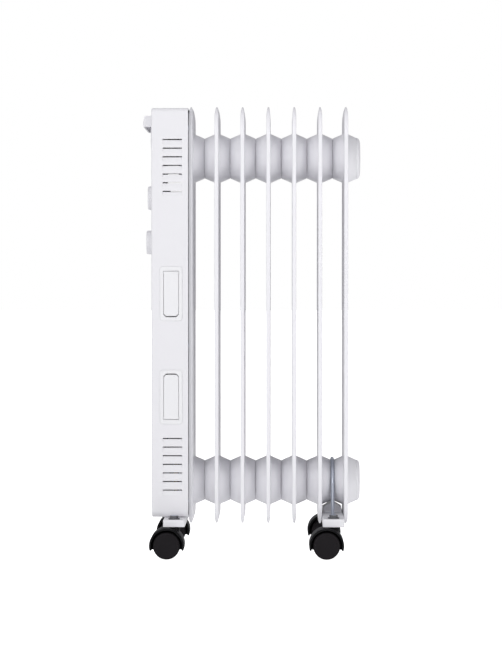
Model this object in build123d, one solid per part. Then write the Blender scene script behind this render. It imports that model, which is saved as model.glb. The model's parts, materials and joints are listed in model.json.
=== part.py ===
from build123d import *
import math
import os

# Oil filled column heater, millimetres.  +X runs from the control box to the
# last fin, +Y is across the fins, +Z is up.  The origin is on the floor, under
# the middle of the whole heater.

# fins: pressed steel panels standing across the X axis, their side edges as
# thick as the body and their ends drawn down to a flat seam
FIN_COUNT = 7
FIN_PITCH = 35.45
FIRST_FIN_X = -84.0
FIN_HALF_DEPTH = 65.0
FIN_BOTTOM = 42.0
FIN_TOP = 615.0
TOP_CORNER = 32.0
BOTTOM_CORNER = 25.0
SEAM_HALF = 1.0
TOP_TAPER = 16.0
BOTTOM_TAPER = 10.5
TOP_SEAM = 6.5
BOTTOM_SEAM = 4.5
SIDE_SEAM = 1.6
BODY_HALF = 2.7
SHEET = 0.8
WEB_HALF = 4.0
WEB_SLOPE = 4.0
WEB_MARGIN = 58.0

# headers: the cups that join fin to fin, wide at the fin and round at the neck
UPPER_HEADER_Z = 546.0
LOWER_HEADER_Z = 98.3
HEADERS = (UPPER_HEADER_Z, LOWER_HEADER_Z)
CUP_HALF_Y = 48.0
CUP_HALF_Z = 35.2
NECK_RADIUS = 27.6
CUP_BULGE = 1.6
CUP_STATIONS = (0.0, 0.4, 0.7, 1.0)
CUP_LENGTH = FIN_PITCH / 2
FRONT_STUB = 14.0
REAR_STUB = 15.4
END_CAP_REACH = 20.5
END_CAP_EDGE = 3.6
CAP_PLATE = 3.6
OIL_GAP = 0.2

# heating element in the lower header
ROD_RADIUS = 4.0
ROD_OFFSET = 9.0
ROD_END_X = 128.0
PORT_BORE = 21.0
PLUG_RADIUS = 24.0
PLUG_FIT = 0.1
GASKET_THICK = 2.0
PLUG_THICK = 5.0
ROD_STAND_OFF = 7.0
TAB_LENGTH = 8.0

# control box
BOX_FRONT = -136.9
BOX_BACK = -86.8
BOX_BOTTOM = 53.0
BOX_TOP = 611.1
BOX_HALF_WIDTH = 76.0
BOX_WALL = 1.8
BOX_BOTTOM_EDGE = 9.0
BOX_TOP_EDGE = 6.0
BOX_FRONT_EDGE = 2.4
SHIELD_FRONT = -89.4
SHIELD_THICK = 1.2
SHIELD_GAP = 0.3
BOSS_RADIUS = 3.6
BOSS_Y = 69.0
BOSS_LEVELS = (76.0, 288.0, 585.0)
SCREW_RADIUS = 1.5
SCREW_LENGTH = 9.0
SCREW_HEAD_RADIUS = 3.0
SCREW_HEAD = 1.8

# louvres in both sides of the box
LOUVRE_COUNT = 7
LOUVRE_X = (-121.4, -95.2)
LOUVRE_PITCH = 11.75
UPPER_LOUVRE_Z = 568.1
LOWER_LOUVRE_Z = 160.9
LOUVRE_SLOT = 1.5
LOUVRE_DEPTH = 1.2
LOUVRE_RAMP = 5.8
FAR_LOUVRE_DROP = 5.5

# fold-out cord hooks in the near side
HOOK_X = -110.0
UPPER_HOOK_Z = 358.4
LOWER_HOOK_Z = 217.5
BEZEL_WIDTH = 30.7
BEZEL_HEIGHT = 74.0
BEZEL_CORNER = 4.0
BEZEL_PROUD = 0.5
BEZEL_LAP = 0.9
BEZEL_DEPTH = 9.0
BEZEL_WALL = 1.5
FLAP_WIDTH = 20.0
FLAP_HEIGHT = 61.0
FLAP_THICK = 2.4
FLAP_CHAMFER = 3.0
FLAP_SIDE_GAP = 0.4
FINGER_GAP = 1.5
HINGE_INSET = 2.2
PIN_RADIUS = 1.2
PIN_REACH = 1.6
PIN_FIT = 0.06

# carry handle at the top of the front
HANDLE_TOP = 601.1
HANDLE_LIP_BOTTOM = 585.9
HANDLE_TOP_X = -146.9
HANDLE_LIP_X = -149.4
HANDLE_HALF = 64.0
HANDLE_WALL = 2.4
TUB_HALF = 54.0
TUB_BOTTOM = 562.0
TUB_DEPTH = 20.0
TUB_CORNER = 6.0

# controls
KNOB_RADIUS = 16.7
THERMOSTAT_Z = 491.1
THERMOSTAT_REACH = 8.8
POWER_Z = 429.5
POWER_REACH = 10.8
KNOB_GAP = 0.6
KNOB_EDGE = 1.6
RIDGE_HALF = 2.6
SHAFT_RADIUS = 3.0
SHAFT_FIT = 0.08
FASCIA_HALF = 46.0
FASCIA_BOTTOM = 398.0
FASCIA_TOP = 526.0
FASCIA_THICK = 1.0
FASCIA_FIT = 0.15
LAMP_Z = 460.0
LAMP_Y = -31.0
LAMP_RADIUS = 3.5

# cord gland on the far side
GLAND_X = -112.0
GLAND_Z = 200.0
GLAND_BORE = 3.7
GLAND_SHANK = 6.5
GLAND_FLANGE = 9.0
GLAND_LENGTH = 16.0

# feet and casters
FRONT_STEM_X = -105.1
REAR_STEM_X = 111.0
STEM_Y = 97.0
FOOT_HALF_X = 14.6
FOOT_HALF_Y = 108.0
FOOT_BOTTOM = 43.2
FRONT_FOOT_TOP = 52.8
REAR_FOOT_TOP = 54.0
FOOT_SHEET = 1.6
STEM_RADIUS = 3.9
STEM_HOLE = 4.2
STEM_FOOT_Z = 24.0
COLLAR_RADIUS = 7.0
NUT_ACROSS = 10.0
NUT_HEIGHT = 4.8
NUT_FLANGE_RADIUS = 7.8
NUT_FLANGE = 1.5
WHEEL_RADIUS = 18.3
WHEEL_TRAIL = 9.6
WHEEL_WIDTH = 13.6
WHEEL_INNER = 7.4
WHEEL_EDGE = 1.8
WHEEL_DISC = 3.2
WHEEL_RIM = 3.4
HUB_WALL = 2.4
HOOD_OUTER = 23.6
HOOD_INNER = 21.2
HOOD_HALF = 21.0
HOOD_WEB = 6.6
HOOD_TIP = 6.0
HOOD_BOSS = 7.0
HOOD_TOP = 42.8
HOOD_BORE = 4.0
AXLE_RADIUS = 2.5
AXLE_FIT = 0.06

# U-bolt that hangs the rear foot from the lower header
ROD = 2.4
U_RADIUS = 36.0
U_DROP = 5.8
U_FOOT_Z = 44.4
WING_NUT_RADIUS = 4.2
WING_NUT_HEIGHT = 4.6
WING_SPAN = 11.0
WING_THICK = 1.8
SADDLE_HALF_X = 12.5
SADDLE_HALF_Y = 16.0
SADDLE_SIDE = 62.0
SADDLE_RIDGE = 69.4
SADDLE_SLOT_HALF = 9.0
SADDLE_SLOT = 1.8

EPS = 0.05


def save(shape, name):
    """Write one sub-part to its own STEP file."""
    export_step(shape, os.path.join("parts", name + ".step"))


def merged(shapes):
    """Fuse a list of solids that belong to one piece."""
    result = shapes[0]
    for shape in shapes[1:]:
        result = result + shape
    return result


def group(shapes):
    """Keep several separate pieces together in one node."""
    return Compound(children=[Solid(s.solid().wrapped) for s in shapes])


def across(x, y=0.0, z=0.0):
    """Work plane square to X: its own x is +Y and its own y is +Z."""
    return Plane(origin=(x, y, z), x_dir=(0, 1, 0), z_dir=(1, 0, 0))


def block(x0, x1, y0, y1, z0, z1):
    """Box given by its limits on the three axes, in either order."""
    middle = ((x0 + x1) / 2, (y0 + y1) / 2, (z0 + z1) / 2)
    return Pos(*middle) * Box(abs(x1 - x0), abs(y1 - y0), abs(z1 - z0))


def bar_x(x0, x1, radius, y=0.0, z=0.0):
    """Round bar along X."""
    return extrude(across(x0, y, z) * Circle(radius), x1 - x0)


def bar_y(y0, y1, radius, x=0.0, z=0.0):
    """Round bar along Y, its ends in either order."""
    plane = Plane(origin=(x, min(y0, y1), z), x_dir=(1, 0, 0), z_dir=(0, 1, 0))
    return extrude(plane * Circle(radius), abs(y1 - y0))


def bar_z(z0, z1, radius, x=0.0, y=0.0):
    """Round bar along Z."""
    return Pos(x, y, (z0 + z1) / 2) * Cylinder(radius, z1 - z0)


def fin_outline(x, inset):
    """Fin outline, drawn in from its edge, on the plane at x."""
    half = FIN_HALF_DEPTH - inset
    height = FIN_TOP - FIN_BOTTOM - 2 * inset
    shape = Rectangle(2 * half, height)
    shape = fillet(shape.vertices().group_by(Axis.Y)[-1], TOP_CORNER - inset)
    shape = fillet(shape.vertices().group_by(Axis.Y)[0], BOTTOM_CORNER - inset)
    return across(x, 0, (FIN_TOP + FIN_BOTTOM) / 2) * shape


def web_outline(x, half_width):
    """Long slot outline between the two oil channels."""
    low = LOWER_HEADER_Z + WEB_MARGIN - half_width
    high = UPPER_HEADER_Z - WEB_MARGIN + half_width
    shape = RectangleRounded(2 * half_width, high - low, half_width * 0.98)
    return across(x, 0, (low + high) / 2) * shape


def cup_outline(centre_x, side, reach, z, shrink):
    """Cup outline at a reach from its fin: a wide oval that swells before it closes to the neck circle."""
    share = reach / CUP_LENGTH
    swell = 1 - share ** CUP_BULGE
    half_y = NECK_RADIUS + (CUP_HALF_Y - NECK_RADIUS) * swell - shrink
    half_z = CUP_HALF_Z + (NECK_RADIUS - CUP_HALF_Z) * share - shrink
    plane = across(centre_x + side * reach, 0, z)
    if abs(half_y - half_z) < EPS:
        return plane * Circle(half_z)
    return plane * Ellipse(half_y, half_z)


def cup(centre_x, side, reach, z, shrink):
    """Solid cup from the fin's middle plane out to its mouth."""
    outlines = [cup_outline(centre_x, side, share * reach, z, shrink) for share in CUP_STATIONS]
    return loft(outlines, ruled=True)


def end_profile(x, body, seam, top_seam, bottom_seam):
    """Fin section seen along Y: the body with both ends drawn down to the seam."""
    top = FIN_TOP - top_seam
    low = FIN_BOTTOM + bottom_seam
    upper = FIN_TOP - TOP_TAPER
    lower = FIN_BOTTOM + BOTTOM_TAPER
    line = Polyline(
        (x - seam, low), (x - body, lower), (x - body, upper), (x - seam, top),
        (x + seam, top), (x + body, upper), (x + body, lower), (x + seam, low), close=True,
    )
    plane = Plane(origin=(0, FIN_HALF_DEPTH, 0), x_dir=(1, 0, 0), z_dir=(0, -1, 0))
    return extrude(plane * make_face(line), 2 * FIN_HALF_DEPTH)


def fin_slab(x):
    """Outside of a fin without its cups."""
    plate = extrude(fin_outline(x - BODY_HALF, 0), 2 * BODY_HALF)
    return plate & end_profile(x, BODY_HALF, SEAM_HALF, 0, 0)


def fin_hollow(x, shrink):
    """Inside of a fin without its cups, drawn in by a sheet thickness."""
    plate = extrude(fin_outline(x - BODY_HALF, SIDE_SEAM + shrink - SHEET), 2 * BODY_HALF)
    return plate & end_profile(x, BODY_HALF - shrink, SEAM_HALF - SHEET, TOP_SEAM, BOTTOM_SEAM)


def web_relief(x, side):
    """The groove pressed into one face of the fin between its channels."""
    root = web_outline(x + side * SEAM_HALF, WEB_HALF)
    face = web_outline(x + side * (BODY_HALF + EPS), WEB_HALF + WEB_SLOPE)
    return loft([root, face], ruled=True)


def cups(x, shrink, reaches):
    """All four cups of a fin."""
    pieces = []
    for side, reach in zip((-1, 1), reaches):
        for z in HEADERS:
            pieces.append(cup(x, side, reach, z, shrink))
    return pieces


def oil_space(x, shrink, reaches):
    """Hollow inside a fin: the body drawn in, less the pinched web."""
    web = extrude(web_outline(x - BODY_HALF, WEB_HALF + WEB_SLOPE + shrink), 2 * BODY_HALF)
    return merged([fin_hollow(x, shrink)] + cups(x, shrink, reaches)) - web


def fin_reaches(index):
    """How far the cups of a fin reach forward and back."""
    front = FRONT_STUB if index == 0 else CUP_LENGTH
    rear = REAR_STUB if index == FIN_COUNT - 1 else CUP_LENGTH
    return front, rear


def fin(index):
    """One hollow fin: two pressed sheets welded round their edge."""
    x = FIRST_FIN_X + index * FIN_PITCH
    reaches = fin_reaches(index)
    slab = fin_slab(x) - web_relief(x, -1) - web_relief(x, 1)
    mouths = [
        extrude(cup_outline(x, side, reach, z, SHEET), side * EPS)
        for side, reach in zip((-1, 1), reaches)
        for z in HEADERS
    ]
    return merged([slab] + cups(x, 0, reaches)) - oil_space(x, SHEET, reaches) - merged(mouths)


def hairpin(y, radius):
    """One bent heating rod with both ends at the front."""
    front = FIRST_FIN_X - FRONT_STUB - CAP_PLATE - GASKET_THICK - PLUG_THICK - ROD_STAND_OFF
    low = LOWER_HEADER_Z - ROD_OFFSET
    high = LOWER_HEADER_Z + ROD_OFFSET
    turn = ThreePointArc(
        (ROD_END_X, y, low), (ROD_END_X + ROD_OFFSET, y, LOWER_HEADER_Z), (ROD_END_X, y, high)
    )
    there = Line((front, y, low), (ROD_END_X, y, low))
    back = Line((ROD_END_X, y, high), (front, y, high))
    path = Wire([there, turn, back])
    return sweep(across(front, y, low) * Circle(radius), path=path)


def oil_charge():
    """The oil in all fins and headers, around the heating rods."""
    spaces = []
    for index in range(FIN_COUNT):
        x = FIRST_FIN_X + index * FIN_PITCH
        spaces.append(oil_space(x, SHEET + OIL_GAP, fin_reaches(index)))
    oil = merged(spaces)
    for y in (-ROD_OFFSET, ROD_OFFSET):
        oil = oil - hairpin(y, ROD_RADIUS + OIL_GAP)
    spigot_end = FIRST_FIN_X - FRONT_STUB + OIL_GAP
    for z in HEADERS:
        oil = oil - bar_x(spigot_end - CUP_LENGTH, spigot_end, CUP_HALF_Y, 0, z)
    return oil


def end_cap(z):
    """Dished plug that closes a header behind the last fin."""
    x = FIRST_FIN_X + (FIN_COUNT - 1) * FIN_PITCH
    root = cup_outline(x, 1, REAR_STUB, z, 0)
    tip_radius = CUP_HALF_Z + (NECK_RADIUS - CUP_HALF_Z) * END_CAP_REACH / CUP_LENGTH
    tip = across(x + END_CAP_REACH, 0, z) * Circle(tip_radius)
    cap = loft([root, tip], ruled=True)
    cap = fillet(cap.edges().group_by(Axis.X)[-1], END_CAP_EDGE)
    dish = bar_x(x + REAR_STUB, x + END_CAP_REACH - 2 * SHEET, tip_radius - END_CAP_EDGE, 0, z)
    return cap - dish


def front_disc(z, bore):
    """Plate that closes, or frames, a header mouth in front of the first fin."""
    disc = extrude(cup_outline(FIRST_FIN_X, -1, FRONT_STUB, z, 0), -CAP_PLATE)
    if bore:
        x = FIRST_FIN_X - FRONT_STUB
        disc = disc - bar_x(x - CAP_PLATE - EPS, x + EPS, bore, 0, z)
    return disc


def fill_plug():
    """Hexagon plug that seals the oil filling hole."""
    x = FIRST_FIN_X - FRONT_STUB - CAP_PLATE
    head = extrude(across(x - 5.0, 0, UPPER_HEADER_Z) * RegularPolygon(7.0, 6), 5.0)
    shank = bar_x(x, x + CAP_PLATE, 4.0, 0, UPPER_HEADER_Z)
    return head + shank


def element_parts():
    """Gasket, screwed plug, rods and terminal tabs of the heating element."""
    seat = FIRST_FIN_X - FRONT_STUB - CAP_PLATE
    z = LOWER_HEADER_Z
    gasket = bar_x(seat - GASKET_THICK, seat, PLUG_RADIUS, 0, z)
    gasket = gasket - bar_x(seat - GASKET_THICK - EPS, seat + EPS, PORT_BORE, 0, z)
    flange_x = seat - GASKET_THICK
    hexagon = RegularPolygon(PLUG_RADIUS, 6, major_radius=False)
    flange = extrude(across(flange_x - PLUG_THICK, 0, z) * hexagon, PLUG_THICK)
    flange = flange + bar_x(flange_x, FIRST_FIN_X - FRONT_STUB, PORT_BORE - PLUG_FIT, 0, z)
    rods = []
    tabs = []
    tip = flange_x - PLUG_THICK - ROD_STAND_OFF
    for y in (-ROD_OFFSET, ROD_OFFSET):
        rod = hairpin(y, ROD_RADIUS)
        rods.append(rod)
        flange = flange - hairpin(y, ROD_RADIUS)
        for side in (-1, 1):
            level = z + side * ROD_OFFSET
            tabs.append(block(tip - TAB_LENGTH, tip, y - 0.4, y + 0.4, level - 3.15, level + 3.15))
    return gasket, flange, group(rods), group(tabs)


def box_blank(front, back, half, bottom, top, radii):
    """Closed block with the rounded edges of the control box."""
    bottom_edge, top_edge, front_edge = radii
    body = block(front, back, -half, half, bottom, top)
    along = body.edges().filter_by(Axis.X).group_by(Axis.Z)
    body = fillet(along[0], bottom_edge)
    along = body.edges().filter_by(Axis.X).sort_by(Axis.Z)
    highest = [e for e in along if e.center().Z > top - EPS]
    body = fillet(highest, top_edge)
    return fillet(body.faces().sort_by(Axis.X)[0].edges(), front_edge)


def louvre_levels(side):
    """Heights of the louvre slots in one side wall, from the top one down."""
    drop = FAR_LOUVRE_DROP if side > 0 else 0.0
    levels = []
    for start in (UPPER_LOUVRE_Z, LOWER_LOUVRE_Z):
        levels += [start - drop - step * LOUVRE_PITCH for step in range(LOUVRE_COUNT)]
    return levels


def louvre_cut(side, level):
    """A slot through the side wall and the ramp pressed in below it."""
    x0, x1 = LOUVRE_X
    wall = side * BOX_HALF_WIDTH
    slot = block(x0, x1, wall - 3.0, wall + 3.0, level - LOUVRE_SLOT / 2, level + LOUVRE_SLOT / 2)
    top = level - LOUVRE_SLOT / 2 + EPS
    inner = wall - side * LOUVRE_DEPTH
    low = top - LOUVRE_RAMP
    ramp = Polyline((inner, top), (wall + side, top), (wall + side, low), (wall, low), close=True)
    prism = extrude(across(x0) * make_face(ramp), x1 - x0)
    return slot + prism


def bezel_hole(z):
    """Opening in the near wall for a cord hook bezel."""
    width = BEZEL_WIDTH - 2 * BEZEL_LAP
    height = BEZEL_HEIGHT - 2 * BEZEL_LAP
    shape = RectangleRounded(width, height, BEZEL_CORNER - BEZEL_LAP)
    plane = Plane(origin=(HOOK_X, -BOX_HALF_WIDTH - 2, z), x_dir=(1, 0, 0), z_dir=(0, -1, 0))
    return extrude(plane * shape, -BOX_WALL - 4)


def screw_bosses():
    """Posts inside the box that take the heat shield screws."""
    posts = []
    rear = SHIELD_FRONT - SHIELD_GAP
    for side in (-1, 1):
        for level in BOSS_LEVELS:
            front = rear - 2 * SCREW_LENGTH
            post = bar_x(front, rear, BOSS_RADIUS, side * BOSS_Y, level)
            web = block(front, rear, side * BOSS_Y, side * (BOX_HALF_WIDTH - 1), level - 1, level + 1)
            posts.append(post + web)
    return posts


def control_box():
    """Moulded shell, open towards the first fin."""
    radii = (BOX_BOTTOM_EDGE, BOX_TOP_EDGE, BOX_FRONT_EDGE)
    outer = box_blank(BOX_FRONT, BOX_BACK, BOX_HALF_WIDTH, BOX_BOTTOM, BOX_TOP, radii)
    inner_radii = (BOX_BOTTOM_EDGE - BOX_WALL, BOX_TOP_EDGE - BOX_WALL, BOX_FRONT_EDGE - BOX_WALL)
    inner = box_blank(
        BOX_FRONT + BOX_WALL,
        BOX_BACK + 5,
        BOX_HALF_WIDTH - BOX_WALL,
        BOX_BOTTOM + BOX_WALL,
        BOX_TOP - BOX_WALL,
        inner_radii,
    )
    shell = outer - inner
    for post in screw_bosses():
        shell = shell + post
    for side in (-1, 1):
        for level in BOSS_LEVELS:
            start = SHIELD_FRONT - SCREW_LENGTH - 2
            shell = shell - bar_x(start, SHIELD_FRONT, SCREW_RADIUS, side * BOSS_Y, level)
        for level in louvre_levels(side):
            shell = shell - louvre_cut(side, level)
    for z in (UPPER_HOOK_Z, LOWER_HOOK_Z):
        shell = shell - bezel_hole(z)
    fascia_seat = block(
        BOX_FRONT - 1, BOX_FRONT + FASCIA_THICK,
        -FASCIA_HALF, FASCIA_HALF, FASCIA_BOTTOM, FASCIA_TOP,
    )
    shell = shell - fascia_seat
    for z in (THERMOSTAT_Z, POWER_Z):
        shell = shell - bar_x(BOX_FRONT - 1, BOX_FRONT + 5, SHAFT_RADIUS + 2, 0, z)
    shell = shell - bar_x(BOX_FRONT - 1, BOX_FRONT + 5, LAMP_RADIUS - 0.6, LAMP_Y, LAMP_Z)
    tub = block(BOX_FRONT - 1, BOX_FRONT + 5, -TUB_HALF, TUB_HALF, TUB_BOTTOM, HANDLE_TOP - HANDLE_WALL)
    shell = shell - fillet(tub.edges().filter_by(Axis.X), TUB_CORNER)
    shell = shell - bar_y(BOX_HALF_WIDTH - 5, BOX_HALF_WIDTH + 1, GLAND_SHANK + PIN_FIT, GLAND_X, GLAND_Z)
    for x, y in front_foot_screw_places():
        shell = shell - bar_z(BOX_BOTTOM - 1, BOX_BOTTOM + 4, SCREW_RADIUS + 0.1, x, y)
    return shell


def heat_shield():
    """Steel plate that closes the back of the box around the headers."""
    half = BOX_HALF_WIDTH - BOX_WALL - SHIELD_GAP
    bottom = BOX_BOTTOM + BOX_WALL + SHIELD_GAP
    top = BOX_TOP - BOX_WALL - SHIELD_GAP
    plate = block(SHIELD_FRONT, SHIELD_FRONT + SHIELD_THICK, -half, half, bottom, top)
    corners = plate.edges().filter_by(Axis.X)
    plate = fillet(corners, BOX_BOTTOM_EDGE - BOX_WALL)
    for z in HEADERS:
        hole = across(SHIELD_FRONT - 1) * Ellipse(CUP_HALF_Y + 0.5, CUP_HALF_Z + 0.5)
        plate = plate - extrude(Pos(0, 0, z) * hole, 3)
    for side in (-1, 1):
        for level in BOSS_LEVELS:
            end = SHIELD_FRONT + 3
            plate = plate - bar_x(SHIELD_FRONT - 1, end, SCREW_RADIUS + 0.1, side * BOSS_Y, level)
    return plate


def pan_screw(length):
    """Pan head screw along +Z, the underside of its head at the origin."""
    head = fillet(Cylinder(SCREW_HEAD_RADIUS, SCREW_HEAD).edges().group_by(Axis.Z)[0], SCREW_HEAD / 2)
    slot = block(-SCREW_HEAD_RADIUS, SCREW_HEAD_RADIUS, -0.3, 0.3, -SCREW_HEAD, -SCREW_HEAD + 0.8)
    head = Pos(0, 0, -SCREW_HEAD / 2) * head
    return head - slot + bar_z(0, length, SCREW_RADIUS - 0.05)


def front_foot_screw_places():
    """Where the screws that hold the front foot pass through the box floor."""
    return [(FRONT_STEM_X + 4, y) for y in (-48.0, 48.0)]


def screws():
    """All the same pan head screws: six for the shield, two for the front foot."""
    pieces = []
    for side in (-1, 1):
        for level in BOSS_LEVELS:
            place = Pos(SHIELD_FRONT + SHIELD_THICK, side * BOSS_Y, level) * Rot(0, -90, 0)
            pieces.append(place * pan_screw(SCREW_LENGTH))
    for x, y in front_foot_screw_places():
        place = Pos(x, y, FRONT_FOOT_TOP - FOOT_SHEET)
        pieces.append(place * pan_screw(SCREW_LENGTH / 2 + FOOT_SHEET))
    return group(pieces)


def carry_handle():
    """Front lip with a finger tub set into the box front behind it."""
    front = BOX_FRONT - 0.1
    lip = Polyline(
        (front, HANDLE_TOP), (HANDLE_TOP_X, HANDLE_TOP), (HANDLE_LIP_X, HANDLE_LIP_BOTTOM),
        (front, HANDLE_LIP_BOTTOM), close=True,
    )
    upright = Plane(origin=(0, HANDLE_HALF, 0), x_dir=(1, 0, 0), z_dir=(0, -1, 0))
    solid = extrude(upright * make_face(lip), 2 * HANDLE_HALF)
    rounded = [e for e in solid.edges().filter_by(Axis.Y) if e.center().X < front - 5]
    solid = fillet(rounded, 1.4)
    wall = HANDLE_WALL
    hollow = Polyline(
        (front + 1, HANDLE_TOP - wall), (HANDLE_TOP_X + wall, HANDLE_TOP - wall),
        (HANDLE_LIP_X + wall, HANDLE_LIP_BOTTOM - 1), (front + 1, HANDLE_LIP_BOTTOM - 1), close=True,
    )
    inner_plane = Plane(origin=(0, HANDLE_HALF - wall, 0), x_dir=(1, 0, 0), z_dir=(0, -1, 0))
    solid = solid - extrude(inner_plane * make_face(hollow), 2 * (HANDLE_HALF - wall))
    back = BOX_FRONT + TUB_DEPTH
    fit = 0.2
    half = TUB_HALF - fit
    top = HANDLE_TOP - wall - fit
    tub = block(BOX_FRONT, back, -half, half, TUB_BOTTOM + fit, top)
    tub = fillet(tub.edges().filter_by(Axis.X), TUB_CORNER - fit)
    scoop = block(
        BOX_FRONT - 1, back - wall, -half + wall, half - wall, TUB_BOTTOM + fit + wall, top - wall
    )
    scoop = fillet(scoop.edges().filter_by(Axis.X), TUB_CORNER - fit - wall)
    frame = block(front - 1.4, front, -half - 4, half + 4, TUB_BOTTOM - 4, HANDLE_TOP - 1)
    frame = fillet(frame.edges().filter_by(Axis.X), TUB_CORNER + 3)
    neck = block(front - EPS, BOX_FRONT + EPS, -half, half, TUB_BOTTOM + fit, top)
    neck = fillet(neck.edges().filter_by(Axis.X), TUB_CORNER - fit)
    inner_frame = block(
        front - 2, BOX_FRONT + 1, -half + wall, half - wall, TUB_BOTTOM + fit + wall, top - wall
    )
    inner_frame = fillet(inner_frame.edges().filter_by(Axis.X), TUB_CORNER - fit - wall)
    return solid + frame + neck + tub - scoop - inner_frame


def knob(z, reach):
    """Round control knob with a grip ridge across its face."""
    back = BOX_FRONT - KNOB_GAP
    face = BOX_FRONT - reach
    skirt = 3.2
    body = bar_x(face + 1.6, back, KNOB_RADIUS, 0, z)
    body = fillet(body.edges().group_by(Axis.X)[0], KNOB_EDGE)
    reach_y = KNOB_RADIUS - 2.2
    ridge = block(face, face + skirt, -reach_y, reach_y, z - RIDGE_HALF, z + RIDGE_HALF)
    ridge = fillet(ridge.edges().filter_by(Axis.X), RIDGE_HALF - 0.4)
    hollow = bar_x(back - skirt, back + EPS, KNOB_RADIUS - 2.0, 0, z)
    hub = bar_x(back - skirt - EPS, back, SHAFT_RADIUS + 2.0, 0, z)
    bore = bar_x(back - skirt, back + EPS, SHAFT_RADIUS, 0, z)
    return body + ridge - hollow + hub - bore


def control_shaft(z):
    """Turning shaft from the control body into its knob."""
    return bar_x(BOX_FRONT - KNOB_GAP - 3.2, BOX_FRONT + 14.0, SHAFT_RADIUS, 0, z)


def control_body(z, half_y, half_z, depth):
    """Thermostat or switch housing behind the front wall, bored for its shaft."""
    front = BOX_FRONT + BOX_WALL + SHIELD_GAP
    housing = block(front, front + depth, -half_y, half_y, z - half_z, z + half_z)
    housing = fillet(housing.edges().filter_by(Axis.X), 2.5)
    lugs = block(front, front + 2.0, -half_y - 7, half_y + 7, z - 5, z + 5)
    bore = bar_x(front - 1, BOX_FRONT + 14.6, SHAFT_RADIUS + SHAFT_FIT, 0, z)
    return housing + lugs - bore


def fascia():
    """Flush plate round the controls."""
    fit = FASCIA_FIT
    plate = block(
        BOX_FRONT, BOX_FRONT + FASCIA_THICK - EPS,
        -FASCIA_HALF + fit, FASCIA_HALF - fit, FASCIA_BOTTOM + fit, FASCIA_TOP - fit,
    )
    for z in (THERMOSTAT_Z, POWER_Z):
        plate = plate - bar_x(BOX_FRONT - 1, BOX_FRONT + 2, SHAFT_RADIUS + 0.5, 0, z)
    return plate - bar_x(BOX_FRONT - 1, BOX_FRONT + 2, LAMP_RADIUS - 0.6, LAMP_Y, LAMP_Z)


def lamp():
    """Pilot lamp: lens with its holder behind the wall."""
    lens = bar_x(BOX_FRONT - 1.2, BOX_FRONT - 0.1, LAMP_RADIUS, LAMP_Y, LAMP_Z)
    lens = fillet(lens.edges().group_by(Axis.X)[0], 0.9)
    return lens + bar_x(BOX_FRONT - 0.2, BOX_FRONT + 16.0, LAMP_RADIUS - 0.8, LAMP_Y, LAMP_Z)


def cord_gland():
    """Strain relief bush through the far wall, bored for the mains cord."""
    wall = BOX_HALF_WIDTH
    flange = bar_y(wall + 0.1, wall + 3.0, GLAND_FLANGE, GLAND_X, GLAND_Z)
    flange = fillet(flange.edges().group_by(Axis.Y)[-1], 1.2)
    shank = bar_y(wall - GLAND_LENGTH + 3.0, wall + 0.2, GLAND_SHANK, GLAND_X, GLAND_Z)
    return flange + shank - bar_y(wall - 30, wall + 10, GLAND_BORE, GLAND_X, GLAND_Z)


def cord_clamp():
    """Saddle that grips the cord on the inside of the far wall."""
    wall = BOX_HALF_WIDTH - BOX_WALL - 0.2
    base = block(GLAND_X - 9, GLAND_X + 9, wall - 4, wall, GLAND_Z + 11, GLAND_Z + 19)
    bridge = block(GLAND_X - 9, GLAND_X + 9, wall - 14, wall - 11, GLAND_Z + 11, GLAND_Z + 19)
    posts = [
        block(x - 2, x + 2, wall - 12, wall - 2, GLAND_Z + 11, GLAND_Z + 19)
        for x in (GLAND_X - 7, GLAND_X + 7)
    ]
    return merged([base, bridge] + posts)


def hook_plane(z):
    """Work plane on the near side wall: its own x is +X and its own y is +Z."""
    return Plane(origin=(HOOK_X, -BOX_HALF_WIDTH, z), x_dir=(1, 0, 0), z_dir=(0, -1, 0))


def flap_outline(grow, free_side, extra):
    """Flap outline; the free end has its two corners cut off."""
    width = FLAP_WIDTH + 2 * grow
    half = FLAP_HEIGHT / 2
    end = free_side * (half + extra)
    root = -free_side * (half + grow)
    cut = free_side * (FLAP_CHAMFER + extra * 0.4)
    line = Polyline(
        (-width / 2, root), (-width / 2, end - cut), (-width / 2 + abs(cut), end),
        (width / 2 - abs(cut), end), (width / 2, end - cut), (width / 2, root), close=True,
    )
    return make_face(line)


def hinge_place(z, free_side):
    """Height and depth of a flap's hinge line."""
    level = z - free_side * (FLAP_HEIGHT / 2 - HINGE_INSET)
    return level, -BOX_HALF_WIDTH - BEZEL_PROUD + FLAP_THICK / 2 + 0.1


def hook_bezel(z, free_side):
    """Tray that carries a cord hook flap flush in the wall."""
    plane = hook_plane(z)
    flange = extrude(plane * RectangleRounded(BEZEL_WIDTH, BEZEL_HEIGHT, BEZEL_CORNER), BEZEL_PROUD)
    flange = Pos(0, -0.1, 0) * flange
    width = BEZEL_WIDTH - 2 * BEZEL_LAP - 0.4
    height = BEZEL_HEIGHT - 2 * BEZEL_LAP - 0.4
    tray = extrude(plane * RectangleRounded(width, height, BEZEL_CORNER - BEZEL_LAP - 0.2), -BEZEL_DEPTH)
    stub = extrude(plane * RectangleRounded(width, height, BEZEL_CORNER - BEZEL_LAP - 0.2), 0.3)
    body = flange + tray + stub
    mouth = extrude(plane * flap_outline(FLAP_SIDE_GAP, free_side, FINGER_GAP), 3)
    well = extrude(plane * flap_outline(FLAP_SIDE_GAP, free_side, FINGER_GAP), -(BEZEL_DEPTH - BEZEL_WALL))
    level, depth = hinge_place(z, free_side)
    half = FLAP_WIDTH / 2 + PIN_REACH + 0.3
    bore = bar_x(HOOK_X - half, HOOK_X + half, PIN_RADIUS + PIN_FIT, depth, level)
    return body - mouth - well - bore


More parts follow.
